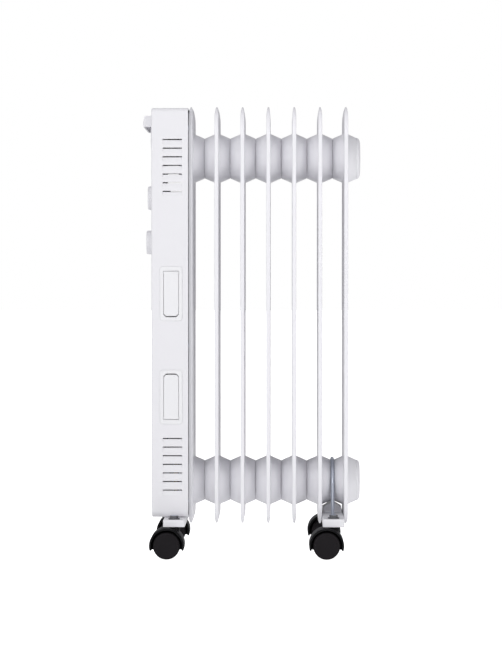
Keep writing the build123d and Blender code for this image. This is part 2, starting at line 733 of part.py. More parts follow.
def hook_flap(z, free_side):
    """Flap that folds out as a cord hook, with its two hinge pins."""
    face_y = -BOX_HALF_WIDTH - BEZEL_PROUD + 0.1
    plane = Plane(origin=(HOOK_X, face_y, z), x_dir=(1, 0, 0), z_dir=(0, -1, 0))
    plate = extrude(plane * flap_outline(0, free_side, 0), -FLAP_THICK)
    level, depth = hinge_place(z, free_side)
    root_edges = [
        e for e in plate.edges().filter_by(Axis.X)
        if abs(e.center().Z - (z - free_side * FLAP_HEIGHT / 2)) < EPS
    ]
    plate = fillet(root_edges, FLAP_THICK / 2 - 0.1)
    half = FLAP_WIDTH / 2
    pins = bar_x(HOOK_X - half - PIN_REACH, HOOK_X + half + PIN_REACH, PIN_RADIUS, depth, level)
    return plate + pins


def stem_places():
    """The four caster stems: name, x and y."""
    places = []
    for end, x in (("front", FRONT_STEM_X), ("rear", REAR_STEM_X)):
        for side, y in (("right", -STEM_Y), ("left", STEM_Y)):
            places.append((end + "_" + side, x, y))
    return places


def foot_pan(x, top):
    """Pressed channel with a flange all round and a hole for each stem."""
    pan = block(x - FOOT_HALF_X, x + FOOT_HALF_X, -FOOT_HALF_Y, FOOT_HALF_Y, FOOT_BOTTOM, top)
    pan = fillet(pan.edges().filter_by(Axis.Z), 3.0)
    pan = fillet(pan.faces().sort_by(Axis.Z)[-1].edges(), 1.2)
    inner = block(
        x - FOOT_HALF_X + FOOT_SHEET, x + FOOT_HALF_X - FOOT_SHEET,
        -FOOT_HALF_Y + FOOT_SHEET, FOOT_HALF_Y - FOOT_SHEET,
        FOOT_BOTTOM - 1, top - FOOT_SHEET,
    )
    inner = fillet(inner.edges().filter_by(Axis.Z), 1.4)
    pan = pan - inner
    for side in (-1, 1):
        pan = pan - bar_z(FOOT_BOTTOM, top + 1, STEM_HOLE, x, side * STEM_Y)
    return pan


def front_foot():
    """Foot screwed under the control box."""
    foot = foot_pan(FRONT_STEM_X, FRONT_FOOT_TOP)
    for x, y in front_foot_screw_places():
        foot = foot - bar_z(FOOT_BOTTOM, FRONT_FOOT_TOP + 1, SCREW_RADIUS + 0.1, x, y)
    return foot


def rear_foot():
    """Foot with a roof-shaped saddle that the U-bolt pulls up under the header."""
    foot = foot_pan(REAR_STEM_X, REAR_FOOT_TOP)
    x = REAR_STEM_X
    base = REAR_FOOT_TOP - FOOT_SHEET

    def roof(half, drop, low):
        line = Polyline(
            (x - half, low), (x - half, SADDLE_SIDE - drop), (x, SADDLE_RIDGE - drop),
            (x + half, SADDLE_SIDE - drop), (x + half, low), close=True,
        )
        return make_face(line)

    plane = Plane(origin=(0, SADDLE_HALF_Y, 0), x_dir=(1, 0, 0), z_dir=(0, -1, 0))
    foot = foot + extrude(plane * roof(SADDLE_HALF_X, 0, base), 2 * SADDLE_HALF_Y)
    plane = Plane(origin=(0, SADDLE_HALF_Y - FOOT_SHEET, 0), x_dir=(1, 0, 0), z_dir=(0, -1, 0))
    inner = roof(SADDLE_HALF_X - FOOT_SHEET, FOOT_SHEET * 1.2, base - 1)
    foot = foot - extrude(plane * inner, 2 * (SADDLE_HALF_Y - FOOT_SHEET))
    slot_z = REAR_FOOT_TOP + 0.6
    foot = foot - block(
        x - SADDLE_SLOT_HALF, x + SADDLE_SLOT_HALF,
        -SADDLE_HALF_Y - 1, SADDLE_HALF_Y + 1, slot_z, slot_z + SADDLE_SLOT,
    )
    for y in (-U_RADIUS, U_RADIUS):
        foot = foot - bar_z(FOOT_BOTTOM, REAR_FOOT_TOP + 1, ROD + 0.4, x, y)
    return foot


def u_bolt():
    """Bent rod over the lower header with both legs through the rear foot."""
    x = REAR_STEM_X
    z = LOWER_HEADER_Z - U_DROP
    bend = ThreePointArc((x, -U_RADIUS, z), (x, 0, z + U_RADIUS), (x, U_RADIUS, z))
    near_leg = Line((x, -U_RADIUS, U_FOOT_Z), (x, -U_RADIUS, z))
    far_leg = Line((x, U_RADIUS, z), (x, U_RADIUS, U_FOOT_Z))
    path = Wire([near_leg, bend, far_leg])
    return sweep(Pos(x, -U_RADIUS, U_FOOT_Z) * Circle(ROD), path=path)


def wing_nut(y):
    """Wing nut under the rear foot."""
    top = REAR_FOOT_TOP - FOOT_SHEET - 0.1
    hub = bar_z(top - WING_NUT_HEIGHT, top, WING_NUT_RADIUS, REAR_STEM_X, y)
    wings = block(
        REAR_STEM_X - WING_SPAN, REAR_STEM_X + WING_SPAN,
        y - WING_THICK / 2, y + WING_THICK / 2, top - WING_NUT_HEIGHT - 1.2, top - 1.0,
    )
    wings = fillet(wings.edges().filter_by(Axis.Y), 1.6)
    return hub + wings - bar_z(top - 10, top + 1, ROD + 0.02, REAR_STEM_X, y)


def foot_top(x):
    """Height of the foot that a caster stem is bolted to."""
    return FRONT_FOOT_TOP if x < 0 else REAR_FOOT_TOP


def caster_stem(x, y):
    """Stem with a collar under the foot and a thread above it."""
    top = foot_top(x)
    pin = bar_z(STEM_FOOT_Z, top + NUT_HEIGHT + 0.6, STEM_RADIUS, x, y)
    return pin + bar_z(HOOD_TOP + 0.3, top - FOOT_SHEET - 0.02, COLLAR_RADIUS, x, y)


def stem_nut(x, y):
    """Flanged hexagon nut on top of the foot."""
    floor = foot_top(x) + 0.02
    hexagon = RegularPolygon(NUT_ACROSS / 2, 6, major_radius=False)
    nut = extrude(Pos(x, y, floor) * hexagon, NUT_HEIGHT)
    nut = nut + bar_z(floor, floor + NUT_FLANGE, NUT_FLANGE_RADIUS, x, y)
    return nut - bar_z(floor - 1, floor + 10, STEM_RADIUS, x, y)


def hood(x, y):
    """Caster hood: an arched cover, the middle web and the stem boss."""
    centre = x - WHEEL_TRAIL
    cover = bar_y(y - HOOD_HALF, y + HOOD_HALF, HOOD_OUTER, centre, WHEEL_RADIUS)
    cover = cover - bar_y(y - HOOD_HALF - 1, y + HOOD_HALF + 1, HOOD_INNER, centre, WHEEL_RADIUS)
    web = bar_y(y - HOOD_WEB, y + HOOD_WEB, HOOD_INNER + 1, centre, WHEEL_RADIUS)
    below = block(centre - 40, centre + 40, y - 40, y + 40, -10, WHEEL_RADIUS - HOOD_TIP)
    boss = bar_z(WHEEL_RADIUS, HOOD_TOP, HOOD_BOSS, x, y)
    boss = boss & block(x - 20, x + 20, y - HOOD_WEB - 0.4, y + HOOD_WEB + 0.4, 0, HOOD_TOP)
    cap = bar_z(WHEEL_RADIUS + HOOD_INNER - 2.5, HOOD_TOP, HOOD_BOSS + 1, x, y)
    body = cover + web - below + boss + cap
    body = body - bar_z(STEM_FOOT_Z - 1, HOOD_TOP + 1, HOOD_BORE, x, y)
    return body - bar_y(y - 30, y + 30, AXLE_RADIUS, centre, WHEEL_RADIUS)


def wheel(x, y, side):
    """One of the twin wheels: hub, dished disc and tread ring."""
    centre = x - WHEEL_TRAIL
    inner = y + side * WHEEL_INNER
    outer = inner + side * WHEEL_WIDTH
    tyre = bar_y(inner, outer, WHEEL_RADIUS, centre, WHEEL_RADIUS)
    face = tyre.faces().sort_by(Axis.Y)[-1 if side > 0 else 0]
    tyre = fillet(face.edges(), WHEEL_EDGE)
    pocket_end = outer - side * WHEEL_DISC
    pocket = bar_y(inner - side, pocket_end, WHEEL_RADIUS - WHEEL_RIM, centre, WHEEL_RADIUS)
    hub = bar_y(inner, pocket_end, AXLE_RADIUS + HUB_WALL, centre, WHEEL_RADIUS)
    bore_end = outer - side * (WHEEL_DISC - HUB_WALL + 1)
    bore = bar_y(inner - side, bore_end, AXLE_RADIUS + AXLE_FIT, centre, WHEEL_RADIUS)
    return tyre - pocket + hub - bore


def axle(x, y):
    """Axle pin held in the hood."""
    half = WHEEL_INNER + WHEEL_WIDTH - 2.0
    return bar_y(y - half, y + half, AXLE_RADIUS, x - WHEEL_TRAIL, WHEEL_RADIUS)


def wire_route(points, radius):
    """One insulated lead through its corner points."""
    corners = len(points) - 2
    radii = []
    for n in range(1, corners + 1):
        before = (Vector(points[n]) - Vector(points[n - 1])).length
        after = (Vector(points[n + 1]) - Vector(points[n])).length
        heading = Vector(points[n]) - Vector(points[n - 1])
        turn = heading.get_angle(Vector(points[n + 1]) - Vector(points[n]))
        radii.append(0.45 * min(before, after) / math.tan(math.radians(turn / 2)))
    path = FilletPolyline(*points, radius=radii)
    start = Vector(points[0])
    heading = (Vector(points[1]) - start).normalized()
    return sweep(Plane(origin=start, z_dir=heading) * Circle(radius), path=path)


def internal_wiring():
    """Leads between terminal block, switch, thermostat, cutout and element."""
    seat = FIRST_FIN_X - FRONT_STUB - CAP_PLATE - GASKET_THICK
    tip = seat - PLUG_THICK - ROD_STAND_OFF - TAB_LENGTH
    level = LOWER_HEADER_Z + ROD_OFFSET
    routes = [
        [(-112, 36, 268), (-112, 34, 300), (-116, 22, 350), (-120, 14, 385), (-121, 10, 410)],
        [
            (-112, 26, 268), (-113, 20, 310), (-117, -6, 360),
            (-121, -16, 400), (-120, -30, 446), (-121, -16, 474),
        ],
        [
            (tip - 1.4, -ROD_OFFSET, level), (tip - 3, -14, 130), (-122, -22, 170),
            (-112, -10, 200), (-104, 0, 216),
        ],
        [
            (tip - 1.4, ROD_OFFSET, level), (tip - 3, 14, 128), (-118, 24, 160),
            (-112, 30, 200), (-112, 31, 232),
        ],
    ]
    return group([wire_route(route, 1.2) for route in routes])


def terminal_block():
    """Screw terminal block inside the box."""
    body = block(-120, -102, 16, 46, 234, 266)
    for y in (21, 31, 41):
        body = body - block(-121, -112, y - 3, y + 3, 240, 260)
    return body


def thermal_cutout():
    """Safety cutout clipped behind the heat shield."""
    disc = bar_x(-104, -92, 8.0, 0, 226)
    ears = block(-94, -92, -14, 14, 220, 232)
    return disc + ears


def write_all():
    """Write every node of the heater."""
    for index in range(FIN_COUNT):
        save(fin(index), "fin_" + str(index + 1))
    save(oil_charge(), "oil_charge")
    save(end_cap(UPPER_HEADER_Z), "upper_end_cap")
    save(end_cap(LOWER_HEADER_Z), "lower_end_cap")
    save(front_disc(UPPER_HEADER_Z, 4.0), "upper_front_cap")
    save(front_disc(LOWER_HEADER_Z, PORT_BORE), "element_port")
    save(fill_plug(), "oil_fill_plug")
    gasket, flange, rods, tabs = element_parts()
    save(gasket, "element_gasket")
    save(flange, "element_plug")
    save(rods, "heating_element")
    save(tabs, "element_terminals")
    save(control_box(), "control_box")
    save(heat_shield(), "heat_shield")
    save(screws(), "pan_screws")
    save(carry_handle(), "carry_handle")
    save(fascia(), "control_fascia")
    save(lamp(), "pilot_lamp")
    save(knob(THERMOSTAT_Z, THERMOSTAT_REACH), "thermostat_knob")
    save(knob(POWER_Z, POWER_REACH), "power_knob")
    save(control_shaft(THERMOSTAT_Z), "thermostat_shaft")
    save(control_shaft(POWER_Z), "power_shaft")
    save(control_body(THERMOSTAT_Z, 14.0, 18.0, 20.0), "thermostat")
    save(control_body(POWER_Z, 15.0, 15.0, 24.0), "power_switch")
    save(thermal_cutout(), "thermal_cutout")
    save(terminal_block(), "terminal_block")
    save(internal_wiring(), "internal_wiring")
    save(cord_gland(), "cord_gland")
    save(cord_clamp(), "cord_clamp")
    save(hook_bezel(UPPER_HOOK_Z, -1), "upper_hook_bezel")
    save(hook_bezel(LOWER_HOOK_Z, 1), "lower_hook_bezel")
    save(hook_flap(UPPER_HOOK_Z, -1), "upper_hook_flap")
    save(hook_flap(LOWER_HOOK_Z, 1), "lower_hook_flap")
    save(front_foot(), "front_foot")
    save(rear_foot(), "rear_foot")
    save(u_bolt(), "u_bolt")
    save(group([wing_nut(-U_RADIUS), wing_nut(U_RADIUS)]), "wing_nuts")
    stems = []
    nuts = []
    for name, x, y in stem_places():
        stems.append(caster_stem(x, y))
        nuts.append(stem_nut(x, y))
        save(hood(x, y), name + "_hood")
        save(axle(x, y), name + "_axle")
        save(wheel(x, y, -1), name + "_wheel_a")
        save(wheel(x, y, 1), name + "_wheel_b")
    save(group(stems), "caster_stems")
    save(group(nuts), "stem_nuts")


os.makedirs("parts", exist_ok=True)
write_all()
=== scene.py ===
import bpy
import bmesh
import json
import math
import numpy as np
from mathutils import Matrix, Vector


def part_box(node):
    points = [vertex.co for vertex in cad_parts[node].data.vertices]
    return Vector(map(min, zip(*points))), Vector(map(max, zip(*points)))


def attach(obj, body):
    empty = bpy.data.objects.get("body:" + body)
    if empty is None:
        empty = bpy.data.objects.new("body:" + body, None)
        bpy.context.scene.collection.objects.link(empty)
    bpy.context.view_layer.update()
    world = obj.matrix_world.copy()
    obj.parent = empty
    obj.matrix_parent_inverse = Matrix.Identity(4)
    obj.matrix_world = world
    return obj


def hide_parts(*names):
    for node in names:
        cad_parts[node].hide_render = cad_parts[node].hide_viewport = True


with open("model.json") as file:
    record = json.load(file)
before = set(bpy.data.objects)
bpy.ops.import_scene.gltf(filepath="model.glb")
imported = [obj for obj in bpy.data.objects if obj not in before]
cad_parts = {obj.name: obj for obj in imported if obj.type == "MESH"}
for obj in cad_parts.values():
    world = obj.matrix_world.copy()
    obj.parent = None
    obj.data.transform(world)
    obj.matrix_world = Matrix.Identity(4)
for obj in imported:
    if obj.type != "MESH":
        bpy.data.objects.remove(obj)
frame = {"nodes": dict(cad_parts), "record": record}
NODES = frame["nodes"]
SLOT_OF = {s["node"]: s["material_slot"] for s in frame["record"]["subparts"]}
BODY_OF = {n: b for b, group in frame["record"]["behaviour"]["bodies"].items() for n in group}
MM = 0.001
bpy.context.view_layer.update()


# ---------------------------------------------------------------- camera
CAMERA_PLACE = (0.0401, -3.2965, 0.3716)
CAMERA_AIM = (-0.0021, 0.0, 0.3012)
CAMERA_LENS = 127.3
SENSOR_WIDTH = 36.0
CLIP_NEAR = 0.05
CLIP_FAR = 60.0


def make_camera():
    """A long lens a little above the middle of the heater, square to its side."""
    data = bpy.data.cameras.new("camera")
    data.lens = CAMERA_LENS
    data.sensor_width = SENSOR_WIDTH
    data.clip_start = CLIP_NEAR
    data.clip_end = CLIP_FAR
    obj = bpy.data.objects.new("camera", data)
    bpy.context.scene.collection.objects.link(obj)
    obj.location = CAMERA_PLACE
    aim = Vector(CAMERA_AIM) - Vector(CAMERA_PLACE)
    obj.rotation_mode = "QUATERNION"
    obj.rotation_quaternion = aim.to_track_quat("-Z", "Y")
    bpy.context.scene.camera = obj


# ---------------------------------------------------------------- node helpers
SPECK_SCALE = 1400.0
EDGE_SAMPLES = 4


def new_group(name, inputs, outputs):
    """An empty shader node group with named inputs (name, type, value) and outputs."""
    group = bpy.data.node_groups.new(name, "ShaderNodeTree")
    for label, kind, value in inputs:
        socket = group.interface.new_socket(name=label, in_out="INPUT", socket_type=kind)
        socket.default_value = value
    for label, kind in outputs:
        group.interface.new_socket(name=label, in_out="OUTPUT", socket_type=kind)
    source = group.nodes.new("NodeGroupInput")
    target = group.nodes.new("NodeGroupOutput")
    return group, source, target


def add(tree, kind, **settings):
    """One node, with its properties set."""
    node = tree.nodes.new(kind)
    for key, value in settings.items():
        setattr(node, key, value)
    return node


def noise(tree, vector, scale, detail=3.0, rough=0.5):
    """Noise over object space; scale is a number of features a metre, or a socket."""
    node = add(tree, "ShaderNodeTexNoise")
    tree.links.new(vector, node.inputs["Vector"])
    if isinstance(scale, (int, float)):
        node.inputs["Scale"].default_value = scale
    else:
        tree.links.new(scale, node.inputs["Scale"])
    node.inputs["Detail"].default_value = detail
    node.inputs["Roughness"].default_value = rough
    return node.outputs["Fac"]


def math_node(tree, operation, a, b):
    """a and b, sockets or numbers, through one math operation."""
    node = add(tree, "ShaderNodeMath", operation=operation)
    for socket, value in zip(node.inputs, (a, b)):
        if isinstance(value, (int, float)):
            socket.default_value = value
        else:
            tree.links.new(value, socket)
    return node.outputs[0]


def remap(tree, value, low, high, to_low, to_high):
    """Value from one range to another, clamped; the target ends may be sockets."""
    node = add(tree, "ShaderNodeMapRange", clamp=True)
    tree.links.new(value, node.inputs["Value"])
    node.inputs["From Min"].default_value = low
    node.inputs["From Max"].default_value = high
    for label, end in (("To Min", to_low), ("To Max", to_high)):
        if isinstance(end, (int, float)):
            node.inputs[label].default_value = end
        else:
            tree.links.new(end, node.inputs[label])
    return node.outputs["Result"]


def make_tone_group():
    """Base colour that drifts slowly lighter and darker, with fine specks."""
    group, source, target = new_group(
        "tone_drift",
        [
            ("Base", "NodeSocketColor", (0.8, 0.8, 0.8, 1.0)),
            ("Amount", "NodeSocketFloat", 0.03),
            ("Scale", "NodeSocketFloat", 9.0),
            ("Specks", "NodeSocketFloat", 0.01),
        ],
        [("Color", "NodeSocketColor")],
    )
    place = add(group, "ShaderNodeTexCoord").outputs["Object"]
    slow = noise(group, place, source.outputs["Scale"], 2.0)
    fine = noise(group, place, SPECK_SCALE, 1.0)
    slow_swing = math_node(group, "SUBTRACT", slow, 0.5)
    drift = math_node(group, "MULTIPLY", slow_swing, source.outputs["Amount"])
    fine_swing = math_node(group, "SUBTRACT", fine, 0.5)
    speck = math_node(group, "MULTIPLY", fine_swing, source.outputs["Specks"])
    level = math_node(group, "ADD", math_node(group, "ADD", drift, speck), 1.0)
    scaled = add(group, "ShaderNodeVectorMath", operation="SCALE")
    group.links.new(source.outputs["Base"], scaled.inputs[0])
    group.links.new(level, scaled.inputs["Scale"])
    group.links.new(scaled.outputs["Vector"], target.inputs["Color"])
    return group


def make_polish_group():
    """Roughness that varies between two values in soft patches and fine rubs."""
    group, source, target = new_group(
        "polish",
        [
            ("Smooth", "NodeSocketFloat", 0.3),
            ("Dull", "NodeSocketFloat", 0.4),
            ("Scale", "NodeSocketFloat", 30.0),
        ],
        [("Roughness", "NodeSocketFloat")],
    )
    place = add(group, "ShaderNodeTexCoord").outputs["Object"]
    patches = noise(group, place, source.outputs["Scale"], 4.0, 0.6)
    rough = remap(group, patches, 0.35, 0.65, source.outputs["Smooth"], source.outputs["Dull"])
    group.links.new(rough, target.inputs["Roughness"])
    return group


def make_grain_group():
    """Height of a fine skin: a soft ripple and a finer grain added together."""
    group, source, target = new_group(
        "skin_grain",
        [
            ("Ripple Scale", "NodeSocketFloat", 350.0),
            ("Grain Scale", "NodeSocketFloat", 1600.0),
            ("Grain Share", "NodeSocketFloat", 0.3),
        ],
        [("Height", "NodeSocketFloat")],
    )
    place = add(group, "ShaderNodeTexCoord").outputs["Object"]
    ripple = noise(group, place, source.outputs["Ripple Scale"], 1.0)
    grain = noise(group, place, source.outputs["Grain Scale"], 2.0)
    share = math_node(group, "MULTIPLY", grain, source.outputs["Grain Share"])
    group.links.new(math_node(group, "ADD", ripple, share), target.inputs["Height"])
    return group


def make_dust_group():
    """Mask of settled dust: stronger on faces that look up, broken by noise."""
    group, source, target = new_group(
        "settled_dust",
        [("Amount", "NodeSocketFloat", 0.3), ("Scale", "NodeSocketFloat", 60.0)],
        [("Mask", "NodeSocketFloat")],
    )
    place = add(group, "ShaderNodeTexCoord")
    patches = noise(group, place.outputs["Object"], source.outputs["Scale"], 4.0, 0.65)
    up = add(group, "ShaderNodeSeparateXYZ")
    group.links.new(add(group, "ShaderNodeNewGeometry").outputs["Normal"], up.inputs[0])
    facing = remap(group, up.outputs["Z"], 0.2, 1.0, 0.15, 1.0)
    broken = remap(group, patches, 0.4, 0.75, 0.0, 1.0)
    settled = math_node(group, "MULTIPLY", facing, broken)
    mask = math_node(group, "MULTIPLY", settled, source.outputs["Amount"])
    group.links.new(mask, target.inputs["Mask"])
    return group


def make_edge_highlight_group():
    """Mask of a painted highlight along edges: where a rounded normal leaves the true one, broken
    by fine noise.
    """
    group, source, target = new_group(
        "painted_edge_highlight",
        [
            ("Radius", "NodeSocketFloat", 0.0005),
            ("Amount", "NodeSocketFloat", 0.5),
            ("Scale", "NodeSocketFloat", 260.0),
        ],
        [("Mask", "NodeSocketFloat")],
    )
    rounded = add(group, "ShaderNodeBevel", samples=EDGE_SAMPLES)
    group.links.new(source.outputs["Radius"], rounded.inputs["Radius"])
    lean = add(group, "ShaderNodeVectorMath", operation="DOT_PRODUCT")
    group.links.new(rounded.outputs["Normal"], lean.inputs[0])
    group.links.new(add(group, "ShaderNodeNewGeometry").outputs["Normal"], lean.inputs[1])
    edge = remap(group, lean.outputs["Value"], 0.99, 0.85, 0.0, 1.0)
    place = add(group, "ShaderNodeTexCoord").outputs["Object"]
    patches = noise(group, place, source.outputs["Scale"], 3.0, 0.6)
    broken = remap(group, patches, 0.38, 0.62, 0.0, 1.0)
    # painted highlight: the edge band, broken by noise
    edge_highlight = math_node(group, "MULTIPLY", edge, broken)
    mask = math_node(group, "MULTIPLY", edge_highlight, source.outputs["Amount"])
    group.links.new(mask, target.inputs["Mask"])
    return group


GROUPS = {
    "edge_highlight": make_edge_highlight_group(),
    "tone": make_tone_group(),
    "polish": make_polish_group(),
    "grain": make_grain_group(),
    "dust": make_dust_group(),
}


def use(tree, key, **values):
    """One node group placed in a material, with its inputs set."""
    node = add(tree, "ShaderNodeGroup")
    node.node_tree = GROUPS[key]
    for label, value in values.items():
        node.inputs[label.replace("_", " ")].default_value = value
    return node


FINISHES = {}
DUST = (0.30, 0.29, 0.28, 1.0)
COAT_ROUGHNESS = 0.12


def finish(slot, color, smooth, dull, metallic=0.0, coat=0.0, shine=0.5,
           drift=0.03, drift_scale=9.0, specks=0.012, ripple=350.0, grain=1600.0, share=0.3,
           bump=0.00002, dust=0.0, edge=0.0, highlight_tint=None, highlight_amount=0.0):
    """A finish for one material slot.

    Its tone drifts, its polish is patchy, and it has a fine skin and soft edges.
    Dust, a painted highlight along the edges and a clear coat are added where they are asked for.
    """
    material = bpy.data.materials.new(slot)
    material.use_nodes = True
    tree = material.node_tree
    shader = tree.nodes["Principled BSDF"]
    shader.inputs["Metallic"].default_value = metallic
    shader.inputs["Specular IOR Level"].default_value = shine
    if coat:
        shader.inputs["Coat Weight"].default_value = coat
        shader.inputs["Coat Roughness"].default_value = COAT_ROUGHNESS
    tone = use(tree, "tone", Base=(*color, 1.0), Amount=drift, Scale=drift_scale, Specks=specks)
    shade = tone.outputs["Color"]
    layers = []
    if dust:
        layers.append((use(tree, "dust", Amount=dust).outputs["Mask"], DUST))
    # painted highlight: edges are mixed towards a lighter tint
    if highlight_amount:
        edge_highlight = use(tree, "edge_highlight", Radius=edge, Amount=highlight_amount)
        layers.append((edge_highlight.outputs["Mask"], (*highlight_tint, 1.0)))
    for mask, tint in layers:
        mix = add(tree, "ShaderNodeMix", data_type="RGBA")
        tree.links.new(mask, mix.inputs["Factor"])
        tree.links.new(shade, mix.inputs["A"])
        mix.inputs["B"].default_value = tint
        shade = mix.outputs["Result"]
    tree.links.new(shade, shader.inputs["Base Color"])
    polish = use(tree, "polish", Smooth=smooth, Dull=dull)
    tree.links.new(polish.outputs["Roughness"], shader.inputs["Roughness"])
    skin = use(tree, "grain", Ripple_Scale=ripple, Grain_Scale=grain, Grain_Share=share)
    bump_node = add(tree, "ShaderNodeBump")
    bump_node.inputs["Strength"].default_value = 1.0
    bump_node.inputs["Distance"].default_value = bump
    tree.links.new(skin.outputs["Height"], bump_node.inputs["Height"])
    if edge:
        soft = add(tree, "ShaderNodeBevel", samples=EDGE_SAMPLES)
        soft.inputs["Radius"].default_value = edge
        tree.links.new(soft.outputs["Normal"], bump_node.inputs["Normal"])
    tree.links.new(bump_node.outputs["Normal"], shader.inputs["Normal"])
    FINISHES[slot] = material
    return material


ENAMEL = dict(smooth=0.30, dull=0.42, coat=0.25, drift=0.02, ripple=420.0, bump=0.00003)
# the lighter edge tint in this set paints a highlight along the edges
MOULDED = dict(smooth=0.36, dull=0.46, drift=0.015, ripple=900.0, grain=2600.0, share=0.7,
               bump=0.00002, highlight_tint=(0.88, 0.88, 0.90), highlight_amount=0.25)
# the grey edge tint in this set paints a highlight along the edges of the black rubber
RUBBER_BLACK = dict(smooth=0.42, dull=0.55, shine=0.08, drift=0.15, ripple=600.0, bump=0.00003,
                    highlight_tint=(0.12, 0.12, 0.12), highlight_amount=0.5)
BRIGHT_METAL = dict(metallic=1.0, smooth=0.24, dull=0.38, drift=0.14, drift_scale=70.0, specks=0.06)
finish("radiator_paint", (0.83, 0.825, 0.855), **ENAMEL)
# the lighter edge tint on the foot paint is a painted highlight along its edges
finish("foot_paint", (0.81, 0.805, 0.83), edge=0.0006, highlight_tint=(0.86, 0.86, 0.88), highlight_amount=0.3, **ENAMEL)
finish("box_plastic", (0.785, 0.78, 0.805), edge=0.0005, **MOULDED)
finish("hook_plastic", (0.81, 0.81, 0.825), edge=0.0012, **MOULDED)
finish("fascia_plastic", (0.62, 0.62, 0.65), 0.22, 0.32, drift=0.02, bump=0.00001)
finish("knob_plastic", (0.82, 0.815, 0.84), 0.26, 0.36, drift=0.015, bump=0.00001, edge=0.0004)
finish("shaft_plastic", (0.10, 0.10, 0.105), 0.4, 0.5)
finish("lamp_lens", (0.75, 0.16, 0.03), 0.12, 0.2, coat=0.6, bump=0.00001)
finish("switch_plastic", (0.03, 0.03, 0.033), 0.42, 0.55, drift=0.1, edge=0.0004)
finish("terminal_plastic", (0.70, 0.68, 0.60), 0.4, 0.5, edge=0.0004)
finish("wire_insulation", (0.05, 0.09, 0.30), 0.4, 0.5)
finish("gland_plastic", (0.035, 0.035, 0.038), 0.4, 0.5, drift=0.1, edge=0.0005)
finish("shield_steel", (0.62, 0.63, 0.65), 0.26, 0.40, metallic=1.0,
       drift=0.12, drift_scale=40.0, specks=0.05)
finish("zinc_plate", (0.56, 0.60, 0.67), edge=0.0003, **BRIGHT_METAL)
finish("black_zinc", (0.16, 0.16, 0.17), 0.30, 0.45, metallic=1.0,
       drift=0.2, drift_scale=70.0, edge=0.0003)
finish("element_sheath", (0.32, 0.30, 0.29), 0.35, 0.5, metallic=1.0,
       drift=0.2, drift_scale=60.0)
finish("brass_fitting", (0.78, 0.56, 0.24), edge=0.0004, **BRIGHT_METAL)
finish("fibre_gasket", (0.20, 0.07, 0.04), 0.75, 0.9, drift=0.2)
finish("heat_oil", (0.50, 0.30, 0.06), 0.05, 0.1)
# the grey edges of the casters and wheels are a painted highlight
finish("caster_plastic", (0.006, 0.006, 0.007), dust=0.012, edge=0.0007, **RUBBER_BLACK)
finish("wheel_plastic", (0.012, 0.0105, 0.012), dust=0.02, edge=0.0005, **RUBBER_BLACK)

for name, obj in NODES.items():
    obj.data.materials.clear()
    obj.data.materials.append(FINISHES[SLOT_OF[name]])


# ---------------------------------------------------------------- mesh helpers
WELD_DISTANCE = 1e-6
SLIVER_LENGTH = 1e-7


def sheet_faces(rows, cols, close_rows=False, close_cols=False):
    """Quads of a grid of points, row by row, joined round either way if asked."""
    r = np.arange(rows if close_rows else rows - 1)
    c = np.arange(cols if close_cols else cols - 1)
    rr, cc = np.meshgrid(r, c, indexing="ij")
    a = rr * cols + cc
    b = rr * cols + (cc + 1) % cols
    d = ((rr + 1) % rows) * cols + cc
    e = ((rr + 1) % rows) * cols + (cc + 1) % cols
    return np.stack([a, b, e, d], axis=-1).reshape(-1, 4)


def build(name, patches, material, body, crease=35.0):
    """One closed piece from several grids, welded where they meet.

    Each grid is (points, close_rows, close_cols); crease is in degrees.
    """
    points = []
    faces = []
    start = 0
    for grid, close_rows, close_cols in patches:
        rows, cols = grid.shape[:2]
        points.append(grid.reshape(-1, 3))
        faces.append(sheet_faces(rows, cols, close_rows, close_cols) + start)
        start += rows * cols
    mesh = bpy.data.meshes.new(name)
    mesh.from_pydata(np.concatenate(points).tolist(), [], np.concatenate(faces).tolist())
    shape = bmesh.new()
    shape.from_mesh(mesh)
    bmesh.ops.remove_doubles(shape, verts=shape.verts, dist=WELD_DISTANCE)
    bmesh.ops.dissolve_degenerate(shape, edges=shape.edges, dist=SLIVER_LENGTH)
    bmesh.ops.recalc_face_normals(shape, faces=shape.faces)
    shape.to_mesh(mesh)
    shape.free()
    mesh.shade_smooth()
    mesh.set_sharp_from_angle(angle=math.radians(crease))
    mesh.materials.append(material)
    obj = bpy.data.objects.new(name, mesh)
    bpy.context.scene.collection.objects.link(obj)
    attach(obj, body)
    return obj


def smooth_step(value):
    """0 below 0, 1 above 1, with an S-curve between."""
    t = np.clip(value, 0.0, 1.0)
    return t * t * (3.0 - 2.0 * t)


# ---------------------------------------------------------------- fins
FIN_NAMES = [f"fin_{i + 1}" for i in range(7)]
fin_low, fin_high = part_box("fin_4")
FIN_HALF = fin_high.y
FIN_BOTTOM = fin_low.z
FIN_TOP = fin_high.z
FIN_MID = (FIN_BOTTOM + FIN_TOP) / 2
second = sum(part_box("fin_2"), Vector()).x / 2
sixth = sum(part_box("fin_6"), Vector()).x / 2
PITCH = (sixth - second) / 4
FIRST_X = second - PITCH
HEADER_Z = {
    "upper": (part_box("upper_end_cap")[0].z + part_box("upper_end_cap")[1].z) / 2,
    "lower": (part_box("lower_end_cap")[0].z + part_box("lower_end_cap")[1].z) / 2,
}
CORNER_TOP = 32 * MM
CORNER_BOTTOM = 25 * MM
SEAM_HALF = 1.0 * MM
BODY_HALF = 2.7 * MM
TOP_TAPER = 16.0 * MM
BOTTOM_TAPER = 10.5 * MM
EDGE_ROUND = 1.1 * MM
RIM_SHARE = 1e-4
WEB_HALF = 4.5 * MM
WEB_SLOPE = 7.0 * MM
WEB_CLEAR = 8 * MM
PATCH = 54 * MM
CUP_Y = 48 * MM
CUP_Z = 35.2 * MM
NECK = 27.6 * MM
CUP_BULGE = 2.1
CUP_COVE = 0.8 * MM
CUP_LENGTH = PITCH / 2
FRONT_STUB = 14.0 * MM
REAR_STUB = 15.4 * MM
SEAM = 0.7 * MM


